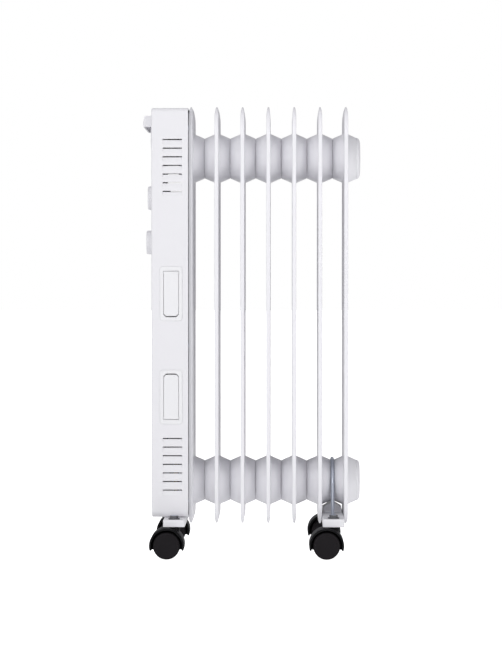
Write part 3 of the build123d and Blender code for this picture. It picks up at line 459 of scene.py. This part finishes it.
def depth_inside(y, z):
    """Distance in from the fin outline, a rectangle with its corners rounded."""
    corner = np.where(z > FIN_MID, CORNER_TOP, CORNER_BOTTOM)
    qy = np.abs(y) - (FIN_HALF - corner)
    qz = np.where(z > FIN_MID, z - (FIN_TOP - corner), (FIN_BOTTOM + corner) - z)
    outside = np.hypot(np.maximum(qy, 0), np.maximum(qz, 0))
    return corner - outside - np.minimum(np.maximum(qy, qz), 0)


def half_thickness(y, z):
    """Half the fin's thickness.

    The body keeps its full thickness out to the folded side edges, narrows in a
    quarter wave to the flat seam at the top and bottom, and the long web down
    the middle is pinched to the seam.  A quarter round takes off the outer edge.
    """
    ends = np.minimum((FIN_TOP - z) / TOP_TAPER, (z - FIN_BOTTOM) / BOTTOM_TAPER)
    body = SEAM_HALF + (BODY_HALF - SEAM_HALF) * np.sin(np.clip(ends, 0.0, 1.0) * math.pi / 2)
    web_low = HEADER_Z["lower"] + PATCH + WEB_CLEAR
    web_high = HEADER_Z["upper"] - PATCH - WEB_CLEAR
    along = np.maximum(np.maximum(web_low - z, z - web_high), 0.0)
    pinch = 1.0 - smooth_step((np.hypot(y, along) - WEB_HALF) / WEB_SLOPE)
    body = body - (BODY_HALF - SEAM_HALF) * pinch
    d = np.clip(depth_inside(y, z) / EDGE_ROUND, 0.0, 1.0)
    flat = np.maximum(body - EDGE_ROUND, 0.0) * (d > RIM_SHARE)
    return flat + np.minimum(body, EDGE_ROUND) * np.sqrt(1.0 - (1.0 - d) ** 2)


WEB_COLUMNS = MM * np.array(
    [-11.5, -9.5, -8.0, -6.5, -5.5, -4.5, -3.0, 0.0, 3.0, 4.5, 5.5, 6.5, 8.0, 9.5, 11.5]
)
SIDE_COLUMNS = MM * np.array(
    [0.0, 0.001, 0.06, 0.2, 0.45, 0.75, 1.1, 2.0, 6.0, 12.0, 20.0, 30.0, 42.0]
)
COLUMNS = np.concatenate([-FIN_HALF + SIDE_COLUMNS, WEB_COLUMNS, (FIN_HALF - SIDE_COLUMNS)[::-1]])


def fin_side_rows():
    """Heights of the middle patch, close together at the ends of the web."""
    low = HEADER_Z["lower"] + PATCH
    high = HEADER_Z["upper"] - PATCH
    ends = np.array([0.0, 1.5, 2.5, 3.5, 4.5, 6.0, 8.0, 10.0, 14.0]) * MM
    middle = np.linspace(low + 40 * MM, high - 40 * MM, 12)
    return np.concatenate([low + ends, middle, (high - ends)[::-1]])


SIDE_POINTS = 12
ARC_POINTS = 15
TIP_POINTS = 13


def end_outline(which):
    """Points round one end of a fin: along its outline, and back along the patch line."""
    sign = 1.0 if which == "upper" else -1.0
    line = HEADER_Z[which] - sign * PATCH
    tip = FIN_TOP if which == "upper" else FIN_BOTTOM
    corner = CORNER_TOP if which == "upper" else CORNER_BOTTOM
    side = np.linspace(line, tip - sign * corner, SIDE_POINTS)[1:]
    turn = np.linspace(0.0, math.pi / 2, ARC_POINTS)[1:]
    arc_y = FIN_HALF - corner + corner * np.cos(turn)
    arc_z = tip - sign * corner + sign * corner * np.sin(turn)
    top = np.linspace(FIN_HALF - corner, -(FIN_HALF - corner), TIP_POINTS)[1:]
    edge = np.full(len(side), FIN_HALF)
    y = np.concatenate([edge, arc_y, top, -arc_y[::-1][1:], -edge, COLUMNS])
    level = np.full(len(COLUMNS), line)
    z = np.concatenate([side, arc_z, np.full(len(top), tip), arc_z[::-1][1:], side[::-1], level])
    return y, z


EDGE_STEPS = np.array([0.0, 0.001, 0.06, 0.2, 0.45, 0.75, 1.1, 2.0, 4.0]) * MM
INWARD = np.array([0.12, 0.24, 0.36, 0.5, 0.65, 0.8, 0.92, 1.0])
CUP_STEPS = np.array(
    [0.02, 0.05, 0.1, 0.18, 0.28, 0.4, 0.52, 0.64, 0.75, 0.84, 0.91, 0.96, 0.985, 1.0]
)
COVE_END = 0.1
MOUTH_START = 0.94


def end_patch(which, x, side, reach):
    """One face of a fin round a header: rings in to the oval, then out along the cup.

    The first rings step in from the outline by fixed distances, the rest by
    shares of the way to the oval.  Along the cup the upright half axis falls in a
    straight line to the neck, the level one swells first and then closes, and
    the mouth turns in to a closed seam.
    """
    y, z = end_outline(which)
    centre = HEADER_Z[which]
    angle = np.arctan2((z - centre) / CUP_Z, y / CUP_Y)
    oval_y = (CUP_Y + CUP_COVE) * np.cos(angle)
    oval_z = centre + (CUP_Z + CUP_COVE) * np.sin(angle)
    gap = np.hypot(oval_y - y, oval_z - z)
    first = EDGE_STEPS[:, None] / gap[None, :]
    start = first[-1]
    rest = start[None, :] + (1 - start[None, :]) * INWARD[:, None]
    share = np.concatenate([first, rest], axis=0)
    ring_y = y[None, :] * (1 - share) + oval_y[None, :] * share
    ring_z = z[None, :] * (1 - share) + oval_z[None, :] * share
    ring_x = x + side * half_thickness(ring_y, ring_z)
    flat = np.stack([ring_x, ring_y, ring_z], axis=-1)
    base = half_thickness(oval_y, oval_z)
    out = base[None, :] + (reach - base)[None, :] * CUP_STEPS[:, None]
    along = out / CUP_LENGTH
    root = CUP_COVE * np.clip(1.0 - CUP_STEPS / COVE_END, 0, 1)[:, None] ** 2
    closing = (CUP_STEPS - MOUTH_START) / (1.0 - MOUTH_START)
    turn_in = SEAM * np.clip(closing, 0, 1)[:, None] ** 2
    half_y = NECK + (CUP_Y - NECK) * (1 - along ** CUP_BULGE) + root - turn_in
    half_z = CUP_Z + (NECK - CUP_Z) * along + root - turn_in
    wall_y = half_y * np.cos(angle)[None, :]
    wall_z = centre + half_z * np.sin(angle)[None, :]
    walls = np.stack([x + side * out, wall_y, wall_z], axis=-1)
    mouth = np.broadcast_to(np.array([x + side * reach, 0.0, centre]), (1, len(angle), 3))
    return np.concatenate([flat, walls, mouth], axis=0)


def middle_patch(x, side):
    """One face of a fin between the headers: columns across, rows up."""
    y, z = np.meshgrid(COLUMNS, fin_side_rows(), indexing="xy")
    return np.stack([x + side * half_thickness(y, z), y, z], axis=-1)


def make_fin(index):
    """Both pressed faces of one fin, welded at the rim."""
    x = FIRST_X + index * PITCH
    front = FRONT_STUB if index == 0 else CUP_LENGTH
    rear = REAR_STUB if index == len(FIN_NAMES) - 1 else CUP_LENGTH
    patches = []
    for side, reach in ((-1, front), (1, rear)):
        for which in ("upper", "lower"):
            patches.append((end_patch(which, x, side, reach), False, True))
        patches.append((middle_patch(x, side), False, False))
    name = FIN_NAMES[index]
    piece = build("pressed_" + name, patches, FINISHES["radiator_paint"], "root", crease=40.0)
    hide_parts(name)


for number in range(len(FIN_NAMES)):
    make_fin(number)


# ---------------------------------------------------------------- turned and swept pieces
SHORT_RUN_SHARE = 0.45


def round_corners(points, radius, steps=5):
    """An open profile with each inner corner replaced by a short curve.

    Each corner becomes a quadratic curve with the corner as its middle control
    point, starting and ending one radius away along the two runs, or less where a
    run is short.
    """
    points = np.asarray(points, dtype=float)
    before = points[:-2] - points[1:-1]
    after = points[2:] - points[1:-1]
    length_before = np.linalg.norm(before, axis=1, keepdims=True)
    length_after = np.linalg.norm(after, axis=1, keepdims=True)
    reach = np.minimum(radius, SHORT_RUN_SHARE * np.minimum(length_before, length_after))
    corner = points[1:-1]
    start = (corner + before / length_before * reach)[:, None]
    stop = (corner + after / length_after * reach)[:, None]
    t = np.linspace(0.0, 1.0, steps)[None, :, None]
    bends = start * (1 - t) ** 2 + 2 * corner[:, None] * t * (1 - t) + stop * t ** 2
    return np.concatenate([points[:1], bends.reshape(-1, 2), points[-1:]])


def turned(profile, centre, axis, turns=72, flute=None):
    """A profile of (radius, distance along the axis) carried round that axis through the centre.

    flute is an optional (depth, count, from, to): a cosine ripple of the radius
    round the axis, between two distances along it.
    """
    radius, along = np.asarray(profile, dtype=float).T
    angle = np.linspace(0.0, 2 * math.pi, turns, endpoint=False)
    reach = np.broadcast_to(radius[:, None], (len(radius), turns)).copy()
    if flute:
        depth, count, start, stop = flute
        band = ((along >= start) & (along <= stop))[:, None]
        reach -= band * depth * (0.5 - 0.5 * np.cos(count * angle))[None, :]
    wide = reach * np.cos(angle)[None, :]
    tall = reach * np.sin(angle)[None, :]
    deep = np.broadcast_to(along[:, None], wide.shape)
    order = {"x": (deep, wide, tall), "y": (wide, deep, tall), "z": (wide, tall, deep)}[axis]
    return np.stack(order, axis=-1) + np.asarray(centre, dtype=float), False, True


def stand_in(piece, *names):
    """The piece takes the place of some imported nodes, which are hidden."""
    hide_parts(*names)


def middle(name):
    """Middle of a node's box."""
    low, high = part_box(name)
    return (low + high) / 2


AXLE_BORE = 2.56 * MM
AXLE_BORE_DEPTH = 11.8 * MM
HUB_RADIUS = 4.9 * MM
WHEEL_DISC = 3.2 * MM
POCKET_RADIUS = 14.9 * MM
TREAD_CROWN = 0.15 * MM
GROOVE_DEPTH = 0.35 * MM
GROOVE_FLOOR = 0.6 * MM
GROOVE_MOUTH = 0.9 * MM


def make_wheel(name):
    """One wheel of a twin caster.

    Turned about its axle: a hub with a blind bore, an open pocket behind the disc,
    a crowned tread with a shallow groove round its middle, and a disc that is
    gently dished inside a raised ring.
    """
    low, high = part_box(name)
    centre = (low + high) / 2
    side = 1.0 if name.endswith("_b") else -1.0
    radius = (high.z - low.z) / 2
    width = high.y - low.y
    groove = radius - GROOVE_DEPTH
    profile = [
        (0.0, AXLE_BORE_DEPTH),
        (AXLE_BORE, AXLE_BORE_DEPTH),
        (AXLE_BORE, 0.0),
        (HUB_RADIUS, 0.0),
        (HUB_RADIUS, width - WHEEL_DISC),
        (POCKET_RADIUS, width - WHEEL_DISC),
        (POCKET_RADIUS, 0.0),
        (radius - TREAD_CROWN, 0.0),
        (radius, 3.0 * MM),
        (radius, width / 2 - GROOVE_MOUTH),
        (groove, width / 2 - GROOVE_FLOOR),
        (groove, width / 2 + GROOVE_FLOOR),
        (radius, width / 2 + GROOVE_MOUTH),
        (radius, width - 2.2 * MM),
        (radius - 0.5 * MM, width - 0.7 * MM),
        (radius - 2.0 * MM, width),
        (radius - 2.7 * MM, width),
        (radius - 3.0 * MM, width - 0.4 * MM),
        (radius - 3.5 * MM, width - 0.4 * MM),
        (10.0 * MM, width - 0.6 * MM),
        (5.0 * MM, width - 0.75 * MM),
        (0.0, width - 0.8 * MM),
    ]
    profile = round_corners(profile, 0.7 * MM, 4)
    profile[:, 1] = side * (profile[:, 1] - width / 2)
    grid = turned(profile, centre, "y", 80)
    finish_used = FINISHES["wheel_plastic"]
    piece = build("moulded_" + name, [grid], finish_used, BODY_OF[name], crease=50.0)
    stand_in(piece, name)


HOOD_CUT = 6.0 * MM
HOOD_WALL = 2.4 * MM
HOOD_ROUND = 1.1 * MM
HOOD_CHAMFER = 0.3 * MM
WEB_HALF_WIDTH = 6.6 * MM
WEB_OVERLAP = 0.8 * MM
WEB_RINGS = ((-1.0, 0.0), (-1.0, 0.97), (-0.92, 1.0), (0.92, 1.0), (1.0, 0.97), (1.0, 0.0))
WEB_SILL_POINTS = 9
BOSS_RADIUS = 8.0 * MM
BOSS_NECK = 7.0 * MM
BOSS_FOOT = 20.0 * MM
STEM_BORE = 4.0 * MM
STEM_BORE_FLOOR = 24.0 * MM


def make_hood(name):
    """Caster hood: an arched cover, a web between the wheels and a stem boss.

    The cover is a flat band section with rounded edges carried round the axle and
    cut level below it.  The web is a disc cut at the same level.  The boss is
    turned about the stem.
    """
    low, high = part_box(name)
    outer = (high.x - low.x) / 2
    half = (high.y - low.y) / 2
    centre = np.array([(low.x + high.x) / 2, (low.y + high.y) / 2, low.z + HOOD_CUT])
    inner = outer - HOOD_WALL
    quarter = np.linspace(0.0, math.pi / 2, 6)
    edge_y = half - HOOD_ROUND + HOOD_ROUND * np.sin(quarter)
    edge_r = outer - HOOD_ROUND + HOOD_ROUND * np.cos(quarter)
    lip = inner + HOOD_CHAMFER
    across_y = np.concatenate([
        edge_y,
        [half, half - HOOD_CHAMFER, 0.0, -half + HOOD_CHAMFER, -half],
        -edge_y[::-1],
    ])
    out_r = np.concatenate([edge_r, [lip, inner, inner, inner, lip], edge_r[::-1]])
    start = -np.arcsin(HOOD_CUT / out_r)
    share = np.linspace(0.0, 1.0, 57)[:, None]
    angle = start[None, :] + (math.pi - 2 * start)[None, :] * share
    level_y = np.broadcast_to(across_y, angle.shape)
    band = np.stack([out_r * np.cos(angle), level_y, out_r * np.sin(angle)], axis=-1)
    first = np.broadcast_to(band[0].mean(axis=0), (1, *band.shape[1:]))
    last = np.broadcast_to(band[-1].mean(axis=0), (1, *band.shape[1:]))
    cover = np.concatenate([first, band, last]) + centre
    web_r = inner + WEB_OVERLAP
    low_angle = -math.asin(HOOD_CUT / web_r)
    arc = np.linspace(low_angle, math.pi - low_angle, 49)
    sill = np.linspace(-1, 1, WEB_SILL_POINTS)[1:-1]
    arc_x = np.concatenate([web_r * np.cos(arc), sill * web_r * math.cos(low_angle)])
    arc_z = np.concatenate([web_r * np.sin(arc), np.full(len(sill), -HOOD_CUT)])
    rings = []
    for depth, grow in WEB_RINGS:
        ring_y = np.full(len(arc_x), depth * WEB_HALF_WIDTH)
        rings.append(np.stack([arc_x * grow, ring_y, arc_z * grow], axis=-1))
    web = np.stack(rings) + centre
    stem_x = middle("front_foot" if "front" in name else "rear_foot").x
    profile = [
        (0.0, STEM_BORE_FLOOR),
        (STEM_BORE, STEM_BORE_FLOOR),
        (STEM_BORE, high.z),
        (BOSS_RADIUS - 0.6 * MM, high.z),
        (BOSS_RADIUS, high.z - 0.8 * MM),
        (BOSS_RADIUS, high.z - 5.0 * MM),
        (BOSS_NECK, high.z - 7.5 * MM),
        (BOSS_NECK, BOSS_FOOT),
        (0.0, BOSS_FOOT),
    ]
    boss = turned(round_corners(profile, 0.5 * MM, 4), (stem_x, centre[1], 0.0), "z", 48)
    patches = [(cover, False, True), (web, False, True), boss]
    finish_used = FINISHES["caster_plastic"]
    piece = build("moulded_" + name, patches, finish_used, BODY_OF[name], crease=40.0)
    stand_in(piece, name)


DISH_DEPTH = 0.9 * MM
CAP_FACE = 21.5 * MM
CAP_FACE_STEPS = np.array([0.97, 0.9, 0.8, 0.74, 0.7, 0.6, 0.4, 0.2, 0.0])
CAP_DISH_STEPS = np.array([0.0, 0.0, 0.05, 0.5, 0.75, 0.9, 1.0, 1.0, 1.0])


def make_end_cap(which):
    """Pressed plug behind the last fin.

    Rings of ellipses: the wall leaves the header mouth at its own slope, bends
    over in a quarter wave to a flat face, and the face is dished a little.
    """
    name = which + "_end_cap"
    low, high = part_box(name)
    centre_z = (low.z + high.z) / 2
    half_y = (high.y - low.y) / 2
    half_z = (high.z - low.z) / 2
    depth = high.x - low.x
    turn = np.linspace(0.0, math.pi / 2, 14)
    bend = np.sin(turn)
    shrink = 1.0 - np.cos(turn)
    back = np.array([0.0, 0.5])
    face = CAP_FACE * CAP_FACE_STEPS
    dish = DISH_DEPTH * CAP_DISH_STEPS
    x = np.concatenate([np.full(len(back), low.x), low.x + depth * bend, high.x - dish])
    wide = np.concatenate([half_y * back, half_y + (CAP_FACE - half_y) * shrink, face])
    tall = np.concatenate([half_z * back, half_z + (CAP_FACE - half_z) * shrink, face])
    angle = np.linspace(0.0, 2 * math.pi, 96, endpoint=False)
    grid = np.stack([
        np.broadcast_to(x[:, None], (len(x), len(angle))),
        wide[:, None] * np.cos(angle)[None, :],
        centre_z + tall[:, None] * np.sin(angle)[None, :],
    ], axis=-1)
    patches = [(grid, False, True)]
    piece = build("pressed_" + name, patches, FINISHES["radiator_paint"], "root", crease=60.0)
    stand_in(piece, name)


BOLT_ROD = 2.4 * MM
THREAD_PITCH = 1.0 * MM
THREAD_DEPTH = 0.28 * MM
THREAD_LENGTH = 15.0 * MM
ROD_END = 0.8
ROD_SIDES = 24


def make_u_bolt():
    """Bent rod with rolled threads.

    A circle carried along two straight legs and a half circle; near the feet the
    radius ripples with the distance from the end, once for each thread.
    """
    low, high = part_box("u_bolt")
    x = (low.x + high.x) / 2
    radius = (high.y - low.y) / 2 - BOLT_ROD
    bend_z = high.z - BOLT_ROD - radius
    leg = bend_z - low.z
    thread = np.arange(0.0, THREAD_LENGTH, THREAD_PITCH / 4)
    plain = np.linspace(THREAD_LENGTH, leg, 12)[1:]
    bend = np.linspace(0.0, math.pi, 49)
    up = np.concatenate([thread, plain])
    y = np.concatenate([
        np.full(len(up), -radius), -radius * np.cos(bend)[1:], np.full(len(up) - 1, radius),
    ])
    z = np.concatenate([low.z + up, bend_z + radius * np.sin(bend)[1:], low.z + up[::-1][1:]])
    tangent_y = np.gradient(y)
    tangent_z = np.gradient(z)
    size = np.hypot(tangent_y, tangent_z)
    tangent_y, tangent_z = tangent_y / size, tangent_z / size
    height = z - low.z
    ripple = 0.5 - 0.5 * np.cos(2 * math.pi * height / THREAD_PITCH)
    rod = BOLT_ROD - THREAD_DEPTH * ripple * (height < THREAD_LENGTH)
    rod[[0, -1]] = BOLT_ROD * ROD_END
    angle = np.linspace(0.0, 2 * math.pi, ROD_SIDES, endpoint=False)
    grid = np.stack([
        x + rod[:, None] * np.cos(angle)[None, :],
        y[:, None] + rod[:, None] * np.sin(angle)[None, :] * tangent_z[:, None],
        z[:, None] - rod[:, None] * np.sin(angle)[None, :] * tangent_y[:, None],
    ], axis=-1)
    ends = [np.broadcast_to(np.array([x, y[i], z[i]]), (1, ROD_SIDES, 3)) for i in (0, -1)]
    grid = np.concatenate([ends[0], grid, ends[1]])
    patches = [(grid, False, True)]
    piece = build("bent_u_bolt", patches, FINISHES["zinc_plate"], BODY_OF["u_bolt"], crease=30.0)
    stand_in(piece, "u_bolt")


KNOB_SKIRT = 3.2 * MM
KNOB_WALL = 2.0 * MM
SOCKET_INNER = 3.0 * MM
SOCKET_OUTER = 5.0 * MM
FLUTES = 36
FLUTE_STEPS = 8
GRIP_DEPTH = 0.35 * MM
BAR_STAND = 0.4 * MM
BAR_SINK = 1.4 * MM
BAR_HALF_WIDTH = 2.6 * MM
BAR_SIDES = 32
BAR_RINGS = 25


def make_knob(name):
    """Control knob: a fluted skirt turned about the shaft, and a grip bar across its face.

    The grip bar is an oval section that tapers towards both ends, its height
    following a half wave along the bar.
    """
    low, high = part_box(name)
    centre = (low + high) / 2
    radius = (high.z - low.z) / 2
    reach = high.x - low.x
    face = reach - BAR_STAND
    inside = radius - KNOB_WALL
    profile = [
        (0.0, KNOB_SKIRT),
        (SOCKET_INNER, KNOB_SKIRT),
        (SOCKET_INNER, 0.0),
        (SOCKET_OUTER, 0.0),
        (SOCKET_OUTER, KNOB_SKIRT),
        (inside, KNOB_SKIRT),
        (inside, 0.0),
        (radius, 0.0),
        (radius, 0.8 * MM),
        (radius - 0.25 * MM, face * 0.75),
        (radius - 0.9 * MM, face - 0.2 * MM),
        (radius - 2.2 * MM, face),
        (radius - 3.4 * MM, face - 0.5 * MM),
        (6.0 * MM, face - 0.9 * MM),
        (0.0, face - 0.9 * MM),
    ]
    profile = round_corners(profile, 0.9 * MM, 5)
    profile[:, 1] = -profile[:, 1]
    place = (high.x, centre.y, centre.z)
    flute = (GRIP_DEPTH, FLUTES, -face * 0.8, -0.9 * MM)
    body = turned(profile, place, "x", FLUTES * FLUTE_STEPS, flute)
    along = np.linspace(-1.0, 1.0, BAR_RINGS)
    crown = np.sqrt(np.clip(1.0 - along ** 6, 0.0, 1.0))
    round_about = np.linspace(0.0, 2 * math.pi, BAR_SIDES, endpoint=False)
    half_bar = radius - 2.2 * MM
    bar_wide = BAR_HALF_WIDTH * (0.55 + 0.45 * (1.0 - along ** 2)) * crown
    bar_high = (reach - face + BAR_SINK) * crown
    oval = np.clip(np.sin(round_about), -0.2, 1.0)
    bar = np.stack([
        high.x - (face - BAR_SINK) - bar_high[:, None] * oval[None, :],
        np.broadcast_to(centre.y + half_bar * along[:, None], (BAR_RINGS, BAR_SIDES)),
        centre.z + bar_wide[:, None] * np.cos(round_about)[None, :],
    ], axis=-1)
    patches = [body, (bar, False, True)]
    piece = build("moulded_" + name, patches, FINISHES["knob_plastic"], BODY_OF[name], crease=40.0)
    stand_in(piece, name)


for corner in ("front_right", "front_left", "rear_right", "rear_left"):
    make_hood(corner + "_hood")
    for letter in ("a", "b"):
        make_wheel(corner + "_wheel_" + letter)
for which in ("upper", "lower"):
    make_end_cap(which)
make_u_bolt()
for name in ("thermostat_knob", "power_knob"):
    make_knob(name)


# ---------------------------------------------------------------- stage
FLOOR_HALF = 30.0
FLOOR_DROP = 0.0002
FLOOR_GLOW = 0.30
WORLD_LEFT = 0.88
WORLD_RIGHT = 0.66
WORLD_FRONT = 0.62
WORLD_BEHIND = 0.62
WORLD_TINT = (0.97, 0.97, 1.0, 1)
PANEL_AIM = (0, 0, 0.3)
PANELS = (
    ("key_panel", (-1.3, -2.9, 1.4), 0.8, 24.0),
    ("side_panel", (1.1, -1.4, 0.6), 0.5, 5.5),
    ("top_panel", (-0.3, -0.9, 2.2), 1.2, 4.5),
)


def make_floor():
    """A wide pale floor: plain white to the camera, and giving off a little light."""
    mesh = bpy.data.meshes.new("floor")
    signs = ((-1, -1), (1, -1), (1, 1), (-1, 1))
    mesh.from_pydata([(a * FLOOR_HALF, b * FLOOR_HALF, 0) for a, b in signs], [], [(0, 1, 2, 3)])
    obj = bpy.data.objects.new("floor", mesh)
    bpy.context.scene.collection.objects.link(obj)
    obj.location.z = -FLOOR_DROP
    material = bpy.data.materials.new("floor")
    material.use_nodes = True
    shader = material.node_tree.nodes["Principled BSDF"]
    shader.inputs["Base Color"].default_value = (0.9, 0.9, 0.9, 1.0)
    shader.inputs["Roughness"].default_value = 0.9
    shader.inputs["Emission Color"].default_value = (1.0, 1.0, 1.0, 1.0)
    seen = add(material.node_tree, "ShaderNodeLightPath").outputs["Is Camera Ray"]
    strength = remap(material.node_tree, seen, 0.0, 1.0, FLOOR_GLOW, 1.0)
    material.node_tree.links.new(strength, shader.inputs["Emission Strength"])
    mesh.materials.append(material)


def make_light():
    """White surround and three soft panels: a key at the front left, weak ones right and above."""
    world = bpy.data.worlds.new("surround")
    bpy.context.scene.world = world
    world.use_nodes = True
    tree = world.node_tree
    tree.nodes.clear()
    output = add(tree, "ShaderNodeOutputWorld")
    seen = add(tree, "ShaderNodeBackground")
    seen.inputs["Strength"].default_value = 1.0
    seen.inputs["Color"].default_value = (1, 1, 1, 1)
    fill = add(tree, "ShaderNodeBackground")
    fill.inputs["Color"].default_value = WORLD_TINT
    place = add(tree, "ShaderNodeTexCoord")
    axes = add(tree, "ShaderNodeSeparateXYZ")
    tree.links.new(place.outputs["Generated"], axes.inputs[0])
    sideways = remap(tree, axes.outputs["X"], -0.9, 0.9, WORLD_LEFT, WORLD_RIGHT)
    depthways = remap(tree, axes.outputs["Y"], -0.9, 0.9, WORLD_FRONT, WORLD_BEHIND)
    tree.links.new(math_node(tree, "MULTIPLY", sideways, depthways), fill.inputs["Strength"])
    mix = add(tree, "ShaderNodeMixShader")
    tree.links.new(add(tree, "ShaderNodeLightPath").outputs["Is Camera Ray"], mix.inputs[0])
    tree.links.new(fill.outputs[0], mix.inputs[1])
    tree.links.new(seen.outputs[0], mix.inputs[2])
    tree.links.new(mix.outputs[0], output.inputs["Surface"])
    for name, place, size, watts in PANELS:
        data = bpy.data.lights.new(name, "AREA")
        data.shape = "SQUARE"
        data.size = size
        data.energy = watts
        obj = bpy.data.objects.new(name, data)
        bpy.context.scene.collection.objects.link(obj)
        obj.location = place
        obj.rotation_mode = "QUATERNION"
        obj.rotation_quaternion = (Vector(PANEL_AIM) - Vector(place)).to_track_quat("-Z", "Y")


bpy.context.scene.view_settings.view_transform = "Standard"
make_camera()
make_floor()
make_light()
